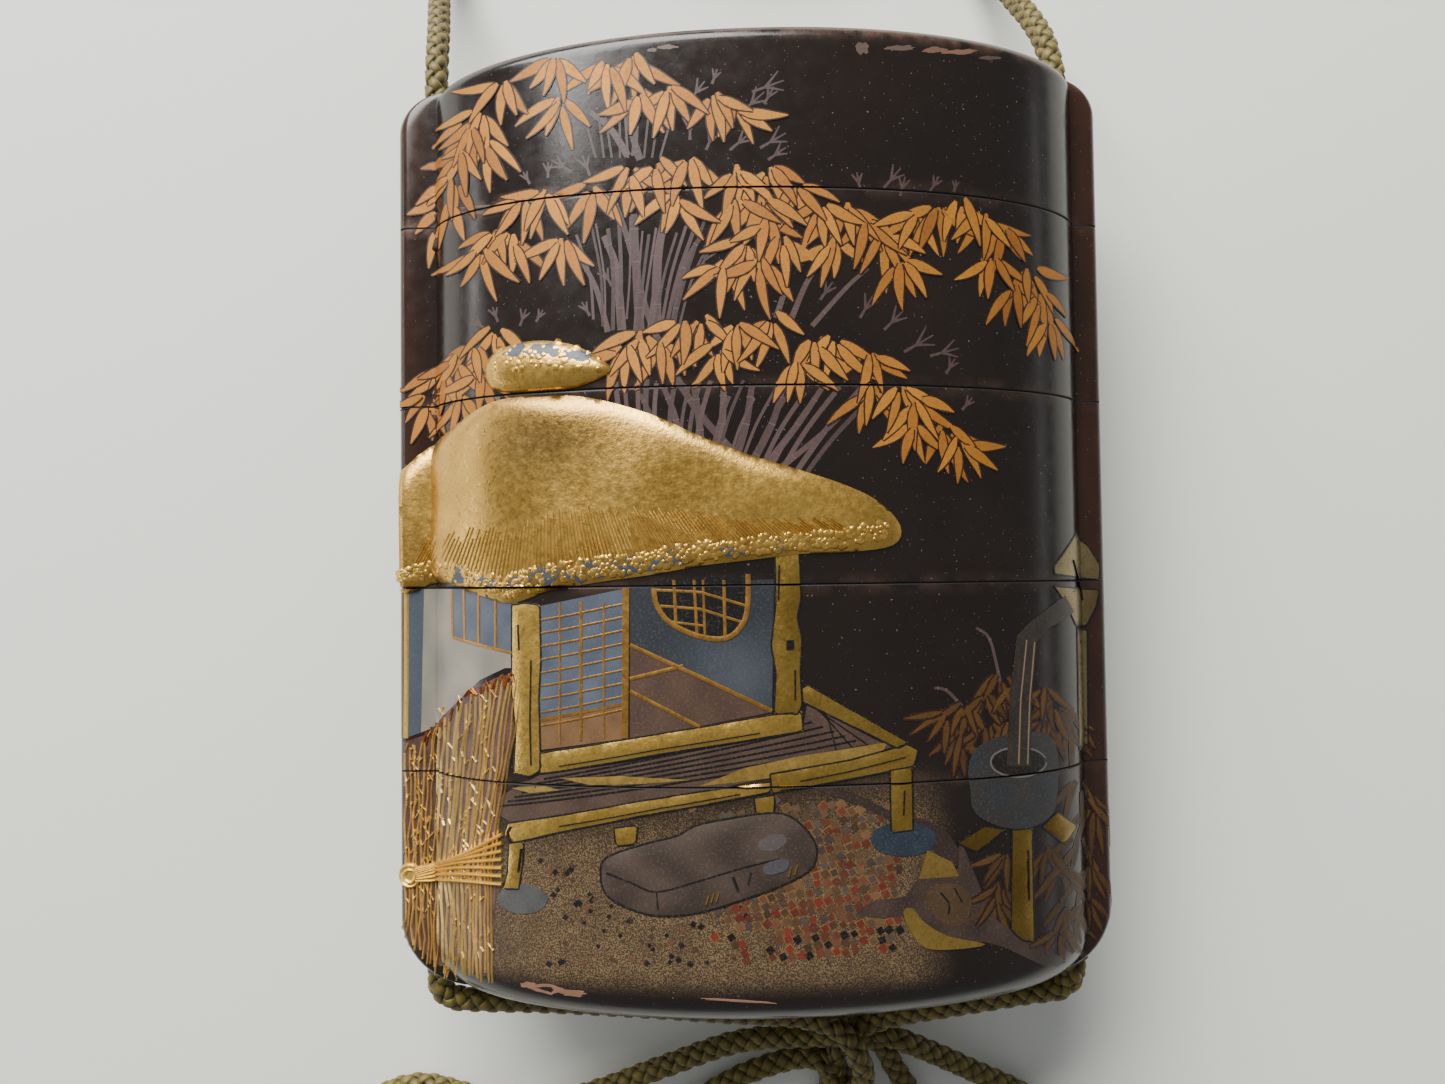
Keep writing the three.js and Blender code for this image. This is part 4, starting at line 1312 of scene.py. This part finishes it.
def stone_shade(xy):
    k = smooth_step(xy[:, 1] + 0.16 * (xy[:, 0] + 8), -34.6, -32.6)[:, None]
    c = srgb(70, 69, 76)[None] * (1 - k) + STONE_C[None] * k
    return c * (0.86 + 0.2 * np.sin(xy[:, :1] * 1.1 + 2 * np.sin(xy[:, 1:] * 0.9)))


shades.strip([*STONE, STONE[0]], 0.2, DARK * 2, 0.06, crown=0.02)
stone.patch(STONE, STONE_C, grid=0.7, shade=stone_shade,
            height=lambda xy, d: 0.05 + 0.20 * (1 - np.exp(-d / 0.6)))
CRACKS = [
    ([(607, 872), (632, 882), (657, 891), (700, 880), (740, 868), (779, 858)], 0.13),
    ([(657, 891), (658, 908)], 0.10), ([(733, 876), (738, 890)], 0.22), ([(751, 872), (748, 884)], 0.12),
]
DASHES = [(706, 900), (711, 898), (716, 897), (788, 872), (794, 870)]
for pts, w in CRACKS:
    stone.strip(curve(pts), w, DARK * 2, 0.262)
for u, v in DASHES:
    gold.strip([(u, v + 4), (u + 3, v - 6)], 0.12, TAN, 0.27)
STAINS = [((772, 842, 15, 8), srgb(80, 72, 70)), ((776, 866, 14, 7), srgb(70, 68, 72))]
for place, c in STAINS:
    stone.patch(ellipse(*place, 16, 0.15, RNG, -0.3), c, 0.262)
ROCK_LINE = [
    (859, 913), (874, 901), (905, 896), (917, 880), (945, 875), (958, 868), (960, 842), (974, 872),
    (986, 902), (1002, 925), (1042, 946), (1066, 962), (1046, 966), (1010, 950), (984, 942), (958, 945),
    (932, 936), (914, 916), (880, 918),
]
BANK = [
    (812, 788), (860, 796), (892, 812), (940, 826), (962, 858), (950, 866), (930, 846), (900, 826),
    (860, 806),
]
GOLD_EDGE = [(903, 912), (911, 932), (926, 948), (957, 949), (985, 944), (948, 936), (924, 922), (912, 908)]
GOLD_PATCH = [(927, 850), (952, 862), (959, 876), (919, 879)]
MOSS = [(925, 896), (938, 884), (962, 886), (972, 906), (960, 926), (938, 920)]
MOSS_LINES = [[(940, 892), (950, 904), (948, 914)], [(954, 888), (962, 902)]]
ROCK = srgb(50, 38, 32)
paint.patch(curve(ROCK_LINE, True, 3), ROCK, 0.04, shade=mottled(ROCK, srgb(66, 52, 44), 0.9))
paint.patch(curve(BANK, True, 3), ROCK * 0.9, 0.03)
gold.patch(curve(GOLD_EDGE, True, 3), DULL, 0.06, grid=1.0)
gold.patch(GOLD_PATCH, DULL * 0.9, 0.05, grid=1.0)
paint.patch(curve(MOSS, True, 3), srgb(72, 54, 34), 0.052)
for pts in MOSS_LINES:
    paint.strip(pts, 0.14, DARK, 0.062)
BASIN_LINE = [
    (968, 768), (976, 749), (997, 737), (1030, 731), (1052, 738), (1058, 764), (1056, 800), (1050, 816),
    (1028, 828), (998, 826), (974, 812), (970, 790),
]
BASIN = srgb(50, 46, 42)
paint.patch(curve(BASIN_LINE, True, 3), BASIN, 0.06, shade=mottled(BASIN, srgb(42, 45, 49), 0.8))
BOWL = (1018, 762)
paint.patch(ellipse(*BOWL, 26, 13, 22), srgb(24, 17, 13), 0.072)
paint.strip(ellipse(*BOWL, 28, 15, 24), 0.14, srgb(96, 94, 92), 0.075)
PIPE_LINE = [
    (1017, 636), (1030, 622), (1058, 600), (1074, 590), (1078, 608), (1048, 628), (1036, 642), (1031, 700),
    (1030, 766), (1006, 766), (1010, 690),
]
PIPE_GRAIN = [[(1026, 640), (1020, 700), (1018, 764)], [(1034, 642), (1029, 700), (1027, 764)]]
PIPE = srgb(50, 42, 35)
paint.patch(PIPE_LINE, PIPE, 0.085, shade=mottled(PIPE, srgb(36, 31, 27), 1.2))
for pts in PIPE_GRAIN:
    paint.strip(pts, 0.12, srgb(128, 106, 80), 0.10)

# Brushwood fence: raised gold twigs on a brown ground
fence = Inlay()
PALE = np.array([0.84, 0.60, 0.22])
FENCE_TOP = [(403, 742), (425, 735), (445, 714), (470, 690), (500, 676), (527, 672)]
FENCE_LOW = [
    (516, 735), (505, 775), (498, 820), (496, 890), (492, 974), (470, 978), (440, 966), (410, 940),
    (403, 900),
]
paint.patch(FENCE_TOP + FENCE_LOW, srgb(86, 62, 54), 0.025,
            shade=mottled(srgb(92, 66, 58), srgb(60, 42, 40), 1.6))
top_u, top_v = zip(*FENCE_TOP)
LONG_TWIGS, SIDE_TWIGS, TOP_TWIGS, ROPES = 24, 170, 40, 7
TWIG_TOP, TWIG_LOW, EDGE_TWIGS = (406, 117), (405, 88), (425, 100)  # left end and width in pixels
SIDE_U, SIDE_LOW, SIDE_LOW_LEFT, SIDE_LEFT = (406, 494), 955, 915, 440
ROPE_LEFT, ROPE_MIDDLE, ROPE_RIGHT = (416, 868), (455, 858), (503, 834)
for i in range(LONG_TWIGS):
    f = i / (LONG_TWIGS - 1)
    u1 = TWIG_LOW[0] + TWIG_LOW[1] * f
    u0 = TWIG_TOP[0] + TWIG_TOP[1] * f
    v0 = np.interp(u0, top_u, top_v) + RNG.uniform(2, 12)
    v1 = 938 + 38 * min(1, f * 2.2) + RNG.uniform(-4, 6)
    pts = []
    for t in np.linspace(0, 1, 12):
        bend = u0 + (u1 - u0) * min(1, t * 1.6) + RNG.uniform(-1.6, 1.6)
        pts.append((bend, v0 + (v1 - v0) * t))
    c = PALE * RNG.uniform(0.85, 1.1)
    fence.strip(pts, RNG.uniform(0.15, 0.24), c, 0.05, crown=0.14, step=0.5)
for _ in range(SIDE_TWIGS):
    u = RNG.uniform(*SIDE_U)
    v = RNG.uniform(np.interp(u * 1.05, top_u, top_v) + 8, SIDE_LOW if u > SIDE_LEFT else SIDE_LOW_LEFT)
    a = math.radians(90 + RNG.choice((-1, 1)) * RNG.uniform(15, 45))
    s = RNG.uniform(5, 10)
    fence.strip([(u, v), (u + s * math.cos(a), v + s * math.sin(a))], 0.15, PALE * RNG.uniform(0.7, 1.0),
                0.06, crown=0.1)
for _ in range(TOP_TWIGS):
    f = RNG.random()
    u = EDGE_TWIGS[0] + EDGE_TWIGS[1] * f
    v = np.interp(u, top_u, top_v) + RNG.uniform(-2, 6)
    fence.strip([(u, v), (u + RNG.uniform(-5, 5), v + RNG.uniform(5, 12))], 0.22, srgb(132, 72, 30), 0.07,
                crown=0.08)
for f in np.linspace(0, 1, ROPES):
    middle = (ROPE_MIDDLE[0], ROPE_MIDDLE[1] + 22 * f - 6 * math.sin(math.pi * f))
    line = curve([(ROPE_LEFT[0], ROPE_LEFT[1] + 12 * f), middle, (ROPE_RIGHT[0], ROPE_RIGHT[1] + 50 * f)])
    fence.strip(line, 0.3, BRIGHT * 0.98, 0.2, crown=0.16)
RING = (411, 875)
for r, lift in ((11, 0.2), (6.5, 0.3)):
    fence.strip(ellipse(*RING, r * 0.8, r, 17)[[*range(17), 0]], 0.34, BRIGHT, lift, crown=0.12)
fence.patch(ellipse(*RING, 6, 8, 12), BRIGHT * 0.9, 0.26)

# Small square inlays of the ground
squares = Inlay()
REDS = [srgb(110, 42, 30), srgb(94, 50, 34), srgb(100, 62, 42), srgb(84, 60, 38)]
TANS = [srgb(104, 76, 50), srgb(88, 66, 46), srgb(74, 52, 36), srgb(98, 50, 30)]
GREYS = [srgb(84, 72, 62), srgb(72, 60, 52)]


def square(u, v, half, turn, colour, lift=0.02):
    a = math.radians(turn) + np.arange(4) * math.pi / 2
    squares.patch(np.stack([u + half * np.cos(a), v + half * np.sin(a)], 1), colour, lift, grid=1.5)


TAKEN = [(900, FW, 858, 950), (870, 938, 820, 858), (975, FW, 0, FH), (908, FW, 0, 860)]


def on_stone(u, v):
    return inside(np.array([[u, v]]), STONE)[0]


def blocked(u, v):
    """Whether the stone, the rock, the basin or a post takes this pixel."""
    return any(u0 < u < u1 and v0 < v < v1 for u0, u1, v0, v1 in TAKEN) or on_stone(u, v)


COLUMNS, ROWS = 38, 22
SQUARE_U, SQUARE_V = (690, 9.2, 1.4), (792, 8.6, 0.9)
DENSE_AT, DENSE_WIDE = (850, 878), (160, 96)
SCATTERED, SCATTER_U, SCATTER_V = 95, (540, 760), (860, 965)
TOP_LINE, LOW_LINE, RED_FROM, BLACK_RIM = (800, 800), (760, 962), 872, 26
for i in range(COLUMNS):
    for j in range(ROWS):
        u = SQUARE_U[0] + i * SQUARE_U[1] + j * SQUARE_U[2] + RNG.uniform(-1.4, 1.4)
        v = SQUARE_V[0] + j * SQUARE_V[1] - i * SQUARE_V[2] + RNG.uniform(-1.2, 1.2)
        low = LOW_LINE[1] - 0.00055 * (u - LOW_LINE[0]) ** 2
        far = math.hypot((u - DENSE_AT[0]) / DENSE_WIDE[0], (v - DENSE_AT[1]) / DENSE_WIDE[1])
        dense = 1 - smooth_step(far, 0.6, 1.2)
        high = TOP_LINE[1] + 0.05 * (u - TOP_LINE[0])
        if v < high or v > low or blocked(u, v) or RNG.random() > 0.12 + 0.88 * dense:
            continue
        if v > low - BLACK_RIM and RNG.random() < 0.30:
            c = DARK * 1.8
        elif v > RED_FROM and RNG.random() < 0.62:
            c = RNG.choice(REDS)
        else:
            c = RNG.choice(TANS + GREYS)
        half, turn = RNG.uniform(4.4, 5.6), 12 + RNG.uniform(-12, 12)
        if RNG.random() < 0.55:
            square(u, v, half + 1.1, turn, srgb(122, 88, 46) * RNG.uniform(0.6, 1.1), 0.014)
        square(u, v, half, turn, c * RNG.uniform(0.6, 1.0), 0.022)
for _ in range(SCATTERED):
    u, v = RNG.uniform(*SCATTER_U), RNG.uniform(*SCATTER_V)
    if on_stone(u, v):
        continue
    c = RNG.choice([DARK * 1.6, DARK * 2.6, srgb(70, 44, 30), srgb(92, 62, 44)])
    square(u, v, RNG.uniform(2.4, 3.8), RNG.uniform(-18, 18), c)

# Thatched roof with its ridge cap
roof = Inlay()
ROOF_LINE = [
    (399, 482), (440, 440), (470, 415), (500, 400), (545, 396), (590, 398), (650, 414), (700, 436),
    (750, 455), (800, 470), (850, 487), (880, 503), (900, 526), (893, 545), (850, 552), (800, 554),
    (750, 560), (700, 566), (650, 575), (600, 582), (550, 591), (512, 603), (480, 595), (440, 582),
    (399, 588),
]
ROOF = curve(ROOF_LINE, True, 4)
ROOF_MM = cast(ROOF)
THATCH = np.array([0.68, 0.42, 0.10])
APEX = np.array([548, 330])  # the reeds fan out from this pixel
REEDS, REED_LEFT, REED_WIDE = 118, 412, 440
REED_STEP = 0.5
REED_U = [399, 440, 480, 512, 550, 600, 650, 700, 750, 800, 850, 890]
REED_END = [574, 566, 572, 578, 570, 562, 556, 548, 542, 538, 534, 528]
EAVE_U = [399, 440, 480, 512, 550, 600, 650, 700, 750, 800, 850, 888]
EAVE_TOP = [572, 564, 570, 577, 569, 561, 554, 547, 541, 536, 532, 522]
EAVE_LOW = [586, 580, 592, 601, 589, 580, 573, 564, 558, 552, 550, 542]
RELIEF = 0.70


def roof_height(xy, d):
    swell = 0.08 * np.sin(xy[:, 0] * 0.55 + 1.0) * np.sin(xy[:, 1] * 0.5)
    return 0.10 + (RELIEF - 0.10 + swell) * (1 - np.exp(-d / 0.75))


def roof_shade(xy):
    k = 0.5 + 0.5 * np.sin(xy[:, 0] * 0.42 + 1.3 * np.sin(xy[:, 1] * 0.5))
    c = THATCH[None] * (0.86 + 0.28 * k[:, None])
    # painted light: browner below the cap as a painted dark reflection in the gold, and a painted highlight
    # brightest along the upper right slope
    far = ((xy[:, 0] + 17.5) / 7.0) ** 2 + ((xy[:, 1] - 8.0) / 4.6) ** 2
    dark_reflection = (0.75 * np.exp(-far))[:, None]
    c = c * (1 - dark_reflection) + np.array([0.30, 0.185, 0.062])[None] * dark_reflection
    lit = np.exp(-((xy[:, 1] - 8.6 + 0.30 * (xy[:, 0] + 6)) / 1.6) ** 2) * smooth_step(xy[:, 0], -11, -5)
    return c * (1 + 0.35 * lit[:, None])


roof.patch(ROOF, THATCH, grid=0.5, shade=roof_shade, height=roof_height)


def roof_up(xy, extra):
    return roof_height(xy, nearness(xy, ROOF_MM)) + extra


def reed(line, width, colour, crown):
    """A stroke over the thatch; line in mm."""
    at = spaced(line, max(3, int(distances(line)[-1] / REED_STEP) + 2))
    t = np.gradient(at, axis=0)
    t /= np.linalg.norm(t, axis=1)[:, None]
    side = np.stack([-t[:, 1], t[:, 0]], 1) * width / 2
    n = len(at)
    xy = np.concatenate([at - side, at, at + side])
    roof.add(xy, roof_up(xy, np.repeat([0.0, crown, 0.0], n)), two_rows(n), colour)


for i in range(REEDS):
    f = i / (REEDS - 1)
    u = REED_LEFT + REED_WIDE * f
    long = 26 + 26 * math.sin(math.pi * min(1, f * 1.2)) + RNG.uniform(-8, 8)
    end = np.array([u, np.interp(u, REED_U, REED_END)])
    way = end - APEX
    way /= np.linalg.norm(way)
    reed(cast([end - way * long, end]), 0.20, THATCH * RNG.uniform(0.9, 1.25), 0.07)


def eave(u, f):
    """Pixel height of the cut eave at u, from its upper edge at f = 0 to its lower one at f = 1."""
    return np.interp(u, EAVE_U, EAVE_TOP) * (1 - f) + np.interp(u, EAVE_U, EAVE_LOW) * f - 3


def bump(centre, radius, colour, high, base=roof_up):
    n = 7
    a = np.arange(n) * 2 * math.pi / n
    circle = radius * np.stack([np.cos(a), np.sin(a)], 1)
    xy = np.concatenate([[centre], centre + 0.6 * circle, centre + circle])
    up = base(xy, 0.0) + np.concatenate([[high], np.full(n, 0.75 * high), np.zeros(n)])
    f = [(0, 1 + i, 1 + (i + 1) % n) for i in range(n)]
    f += [(1 + i, 1 + n + i, 1 + n + (i + 1) % n, 1 + (i + 1) % n) for i in range(n)]
    roof.add(xy, up, f, colour)


def spot(line, base, extra, colour):
    """A flat fleck of patina; line in mm."""
    n = len(line)
    xy = np.concatenate([[line.mean(0)], line])
    spots.add(xy, base(xy, extra), [(0, 1 + (i + 1) % n, 1 + i) for i in range(n)], colour)


# the cut eave: bumps of gold with blue-grey between them
BLUE_GREY = srgb(74, 82, 92)
EAVE_BUMPS, EAVE_SPOTS, CAP_SPOTS, CAP_BUMPS = 520, 46, 24, 60
BUMP_U, SPOT_U = (402, 886), ((455, 560), (560, 690), (600, 790))
CAP_SPOT_U, CAP_SPOT_V, CAP_BUMP_U, CAP_BUMP_V = (500, 596), (346, 358), (492, 606), (343, 372)
spots = Inlay()
for _ in range(EAVE_BUMPS):
    u = RNG.uniform(*BUMP_U)
    v = eave(u, RNG.random())
    c = THATCH * RNG.uniform(0.95, 1.4)
    bump(cast([(u, v)])[0], RNG.uniform(0.16, 0.38), c, RNG.uniform(0.05, 0.11))
for _ in range(EAVE_SPOTS):
    u = RNG.choice([RNG.uniform(*ends) for ends in SPOT_U])
    v = eave(u, RNG.uniform(0.15, 0.95))
    line = cast(ellipse(u, v, RNG.uniform(4, 11), RNG.uniform(2, 5), 10, 0.5, RNG, RNG.uniform(-0.4, 0.2)))
    spot(line, roof_up, 0.035, BLUE_GREY * RNG.uniform(0.7, 1.1))

CAP_LINE = [
    (486, 376), (488, 361), (503, 348), (535, 341), (570, 344), (596, 356), (611, 368), (600, 379),
    (566, 390), (525, 393), (495, 390),
]
CAP = curve(CAP_LINE, True, 4)
CAP_MM = cast(CAP)


def cap_up(xy, extra):
    return 0.10 + 0.80 * (1 - np.exp(-nearness(xy, CAP_MM) / 0.7)) + extra


roof.patch(CAP, THATCH * 1.05, grid=0.45, height=lambda xy, d: cap_up(xy, 0.0))
for _ in range(CAP_SPOTS):
    u, v = RNG.uniform(*CAP_SPOT_U), RNG.uniform(*CAP_SPOT_V)
    line = cast(ellipse(u, v, RNG.uniform(4, 10), RNG.uniform(2.5, 5), 9, 0.5, RNG))
    if inside(line, CAP_MM).all():
        spot(line, cap_up, 0.03, BLUE_GREY * RNG.uniform(0.8, 1.2))
for _ in range(CAP_BUMPS):
    u, v = RNG.uniform(*CAP_BUMP_U), RNG.uniform(*CAP_BUMP_V)
    c = cast([(u, v)])[0]
    if inside(c[None], CAP_MM)[0]:
        bump(c, RNG.uniform(0.15, 0.34), THATCH * RNG.uniform(0.9, 1.3), 0.045, cap_up)

# Chips and rubbed places
chips = Inlay()
CHIP, RUB = srgb(150, 110, 90), srgb(120, 98, 84)
CHIPS = [
    (548, 989, 17, 5, CHIP), (572, 993, 14, 3.4, CHIP), (528, 985, 8, 3, CHIP), (738, 1001, 34, 1.0, CHIP),
    (990, 996, 8, 2.2, CHIP), (668, 47, 9, 2.6, RUB * 0.7), (652, 50, 5, 2, RUB * 0.6),
    (862, 48, 7, 6, RUB * 0.5), (900, 48, 14, 2.5, RUB * 0.6), (935, 50, 12, 3, CHIP * 0.55),
    (960, 52, 16, 2.6, CHIP * 0.6), (990, 58, 10, 2, RUB * 0.5), (505, 206, 42, 1.6, RUB * 0.6),
    (470, 213, 16, 1.6, RUB * 0.6), (496, 398, 5, 3, RUB * 0.8),
]
for u, v, ru, rv, c in CHIPS:
    chips.patch(ellipse(u, v, ru, rv, 18, 0.5, RNG, -0.04 if v < 500 else 0.06), c, 0.012, grid=0.9)

leaves.build("bamboo_leaves", "gold", LEAF_GOLD)
shades.build("bamboo_shading", "lacquer", PIGMENT)
stems.build("bamboo_stems", "lacquer", PIGMENT)
paint.build("coloured_powders", "lacquer", PIGMENT)
gold.build("gold_lines", "gold", GOLD)
timber.build("timber", "gold", GOLD_RAISED)
stone.build("stepping_stone", "lacquer", PIGMENT)
fence.build("fence", "gold", TWIG_GOLD)
squares.build("square_inlays", "lacquer", PIGMENT)
roof.build("thatch", "gold", GOLD_RAISED)
spots.build("thatch_patina", "lacquer", PIGMENT)
chips.build("chips", "lacquer", PIGMENT)

# Stage and light
FLOOR_HALF = 600
corners = [(a * FLOOR_HALF, b * FLOOR_HALF, 0) for a, b in ((-1, -1), (1, -1), (1, 1), (-1, 1))]
floor = add_mesh("floor", corners, [(0, 1, 2, 3)], smooth=False)
floor_mat = Mat("floor")
floor_mat.set(color=(0.80, 0.81, 0.755), rough=0.7, spec=0.2)
floor.data.materials.append(floor_mat.m)

AIM = Vector((0, 0, 0.01))
LIGHTS = {
    "window": ((-0.20, 0.45, 0.35), (0.48, 0.36), 10.0, (1.0, 0.985, 0.955)),
    "fill_left": ((-0.50, -0.02, 0.12), (0.50, 0.06), 0.5, (1, 1, 1)),
    "fill_right": ((0.50, 0.0, 0.10), (0.50, 0.05), 0.07, (1, 1, 1)),
}
for name, (where, size, power, colour) in LIGHTS.items():
    data = bpy.data.lights.new(name, "AREA")
    data.shape = "RECTANGLE"
    data.size, data.size_y = size
    data.energy = power
    data.color = colour
    light = bpy.data.objects.new(name, data)
    bpy.context.scene.collection.objects.link(light)
    light.location = where
    light.rotation_euler = (AIM - Vector(where)).to_track_quat("-Z", "Y").to_euler()
SKY, SKY_STRENGTH = (0.85, 0.87, 0.9), 0.34
world = bpy.data.worlds.new("world")
bpy.context.scene.world = world
world.use_nodes = True
background = world.node_tree.nodes["Background"]
background.inputs["Color"].default_value = rgb(SKY)
background.inputs["Strength"].default_value = SKY_STRENGTH
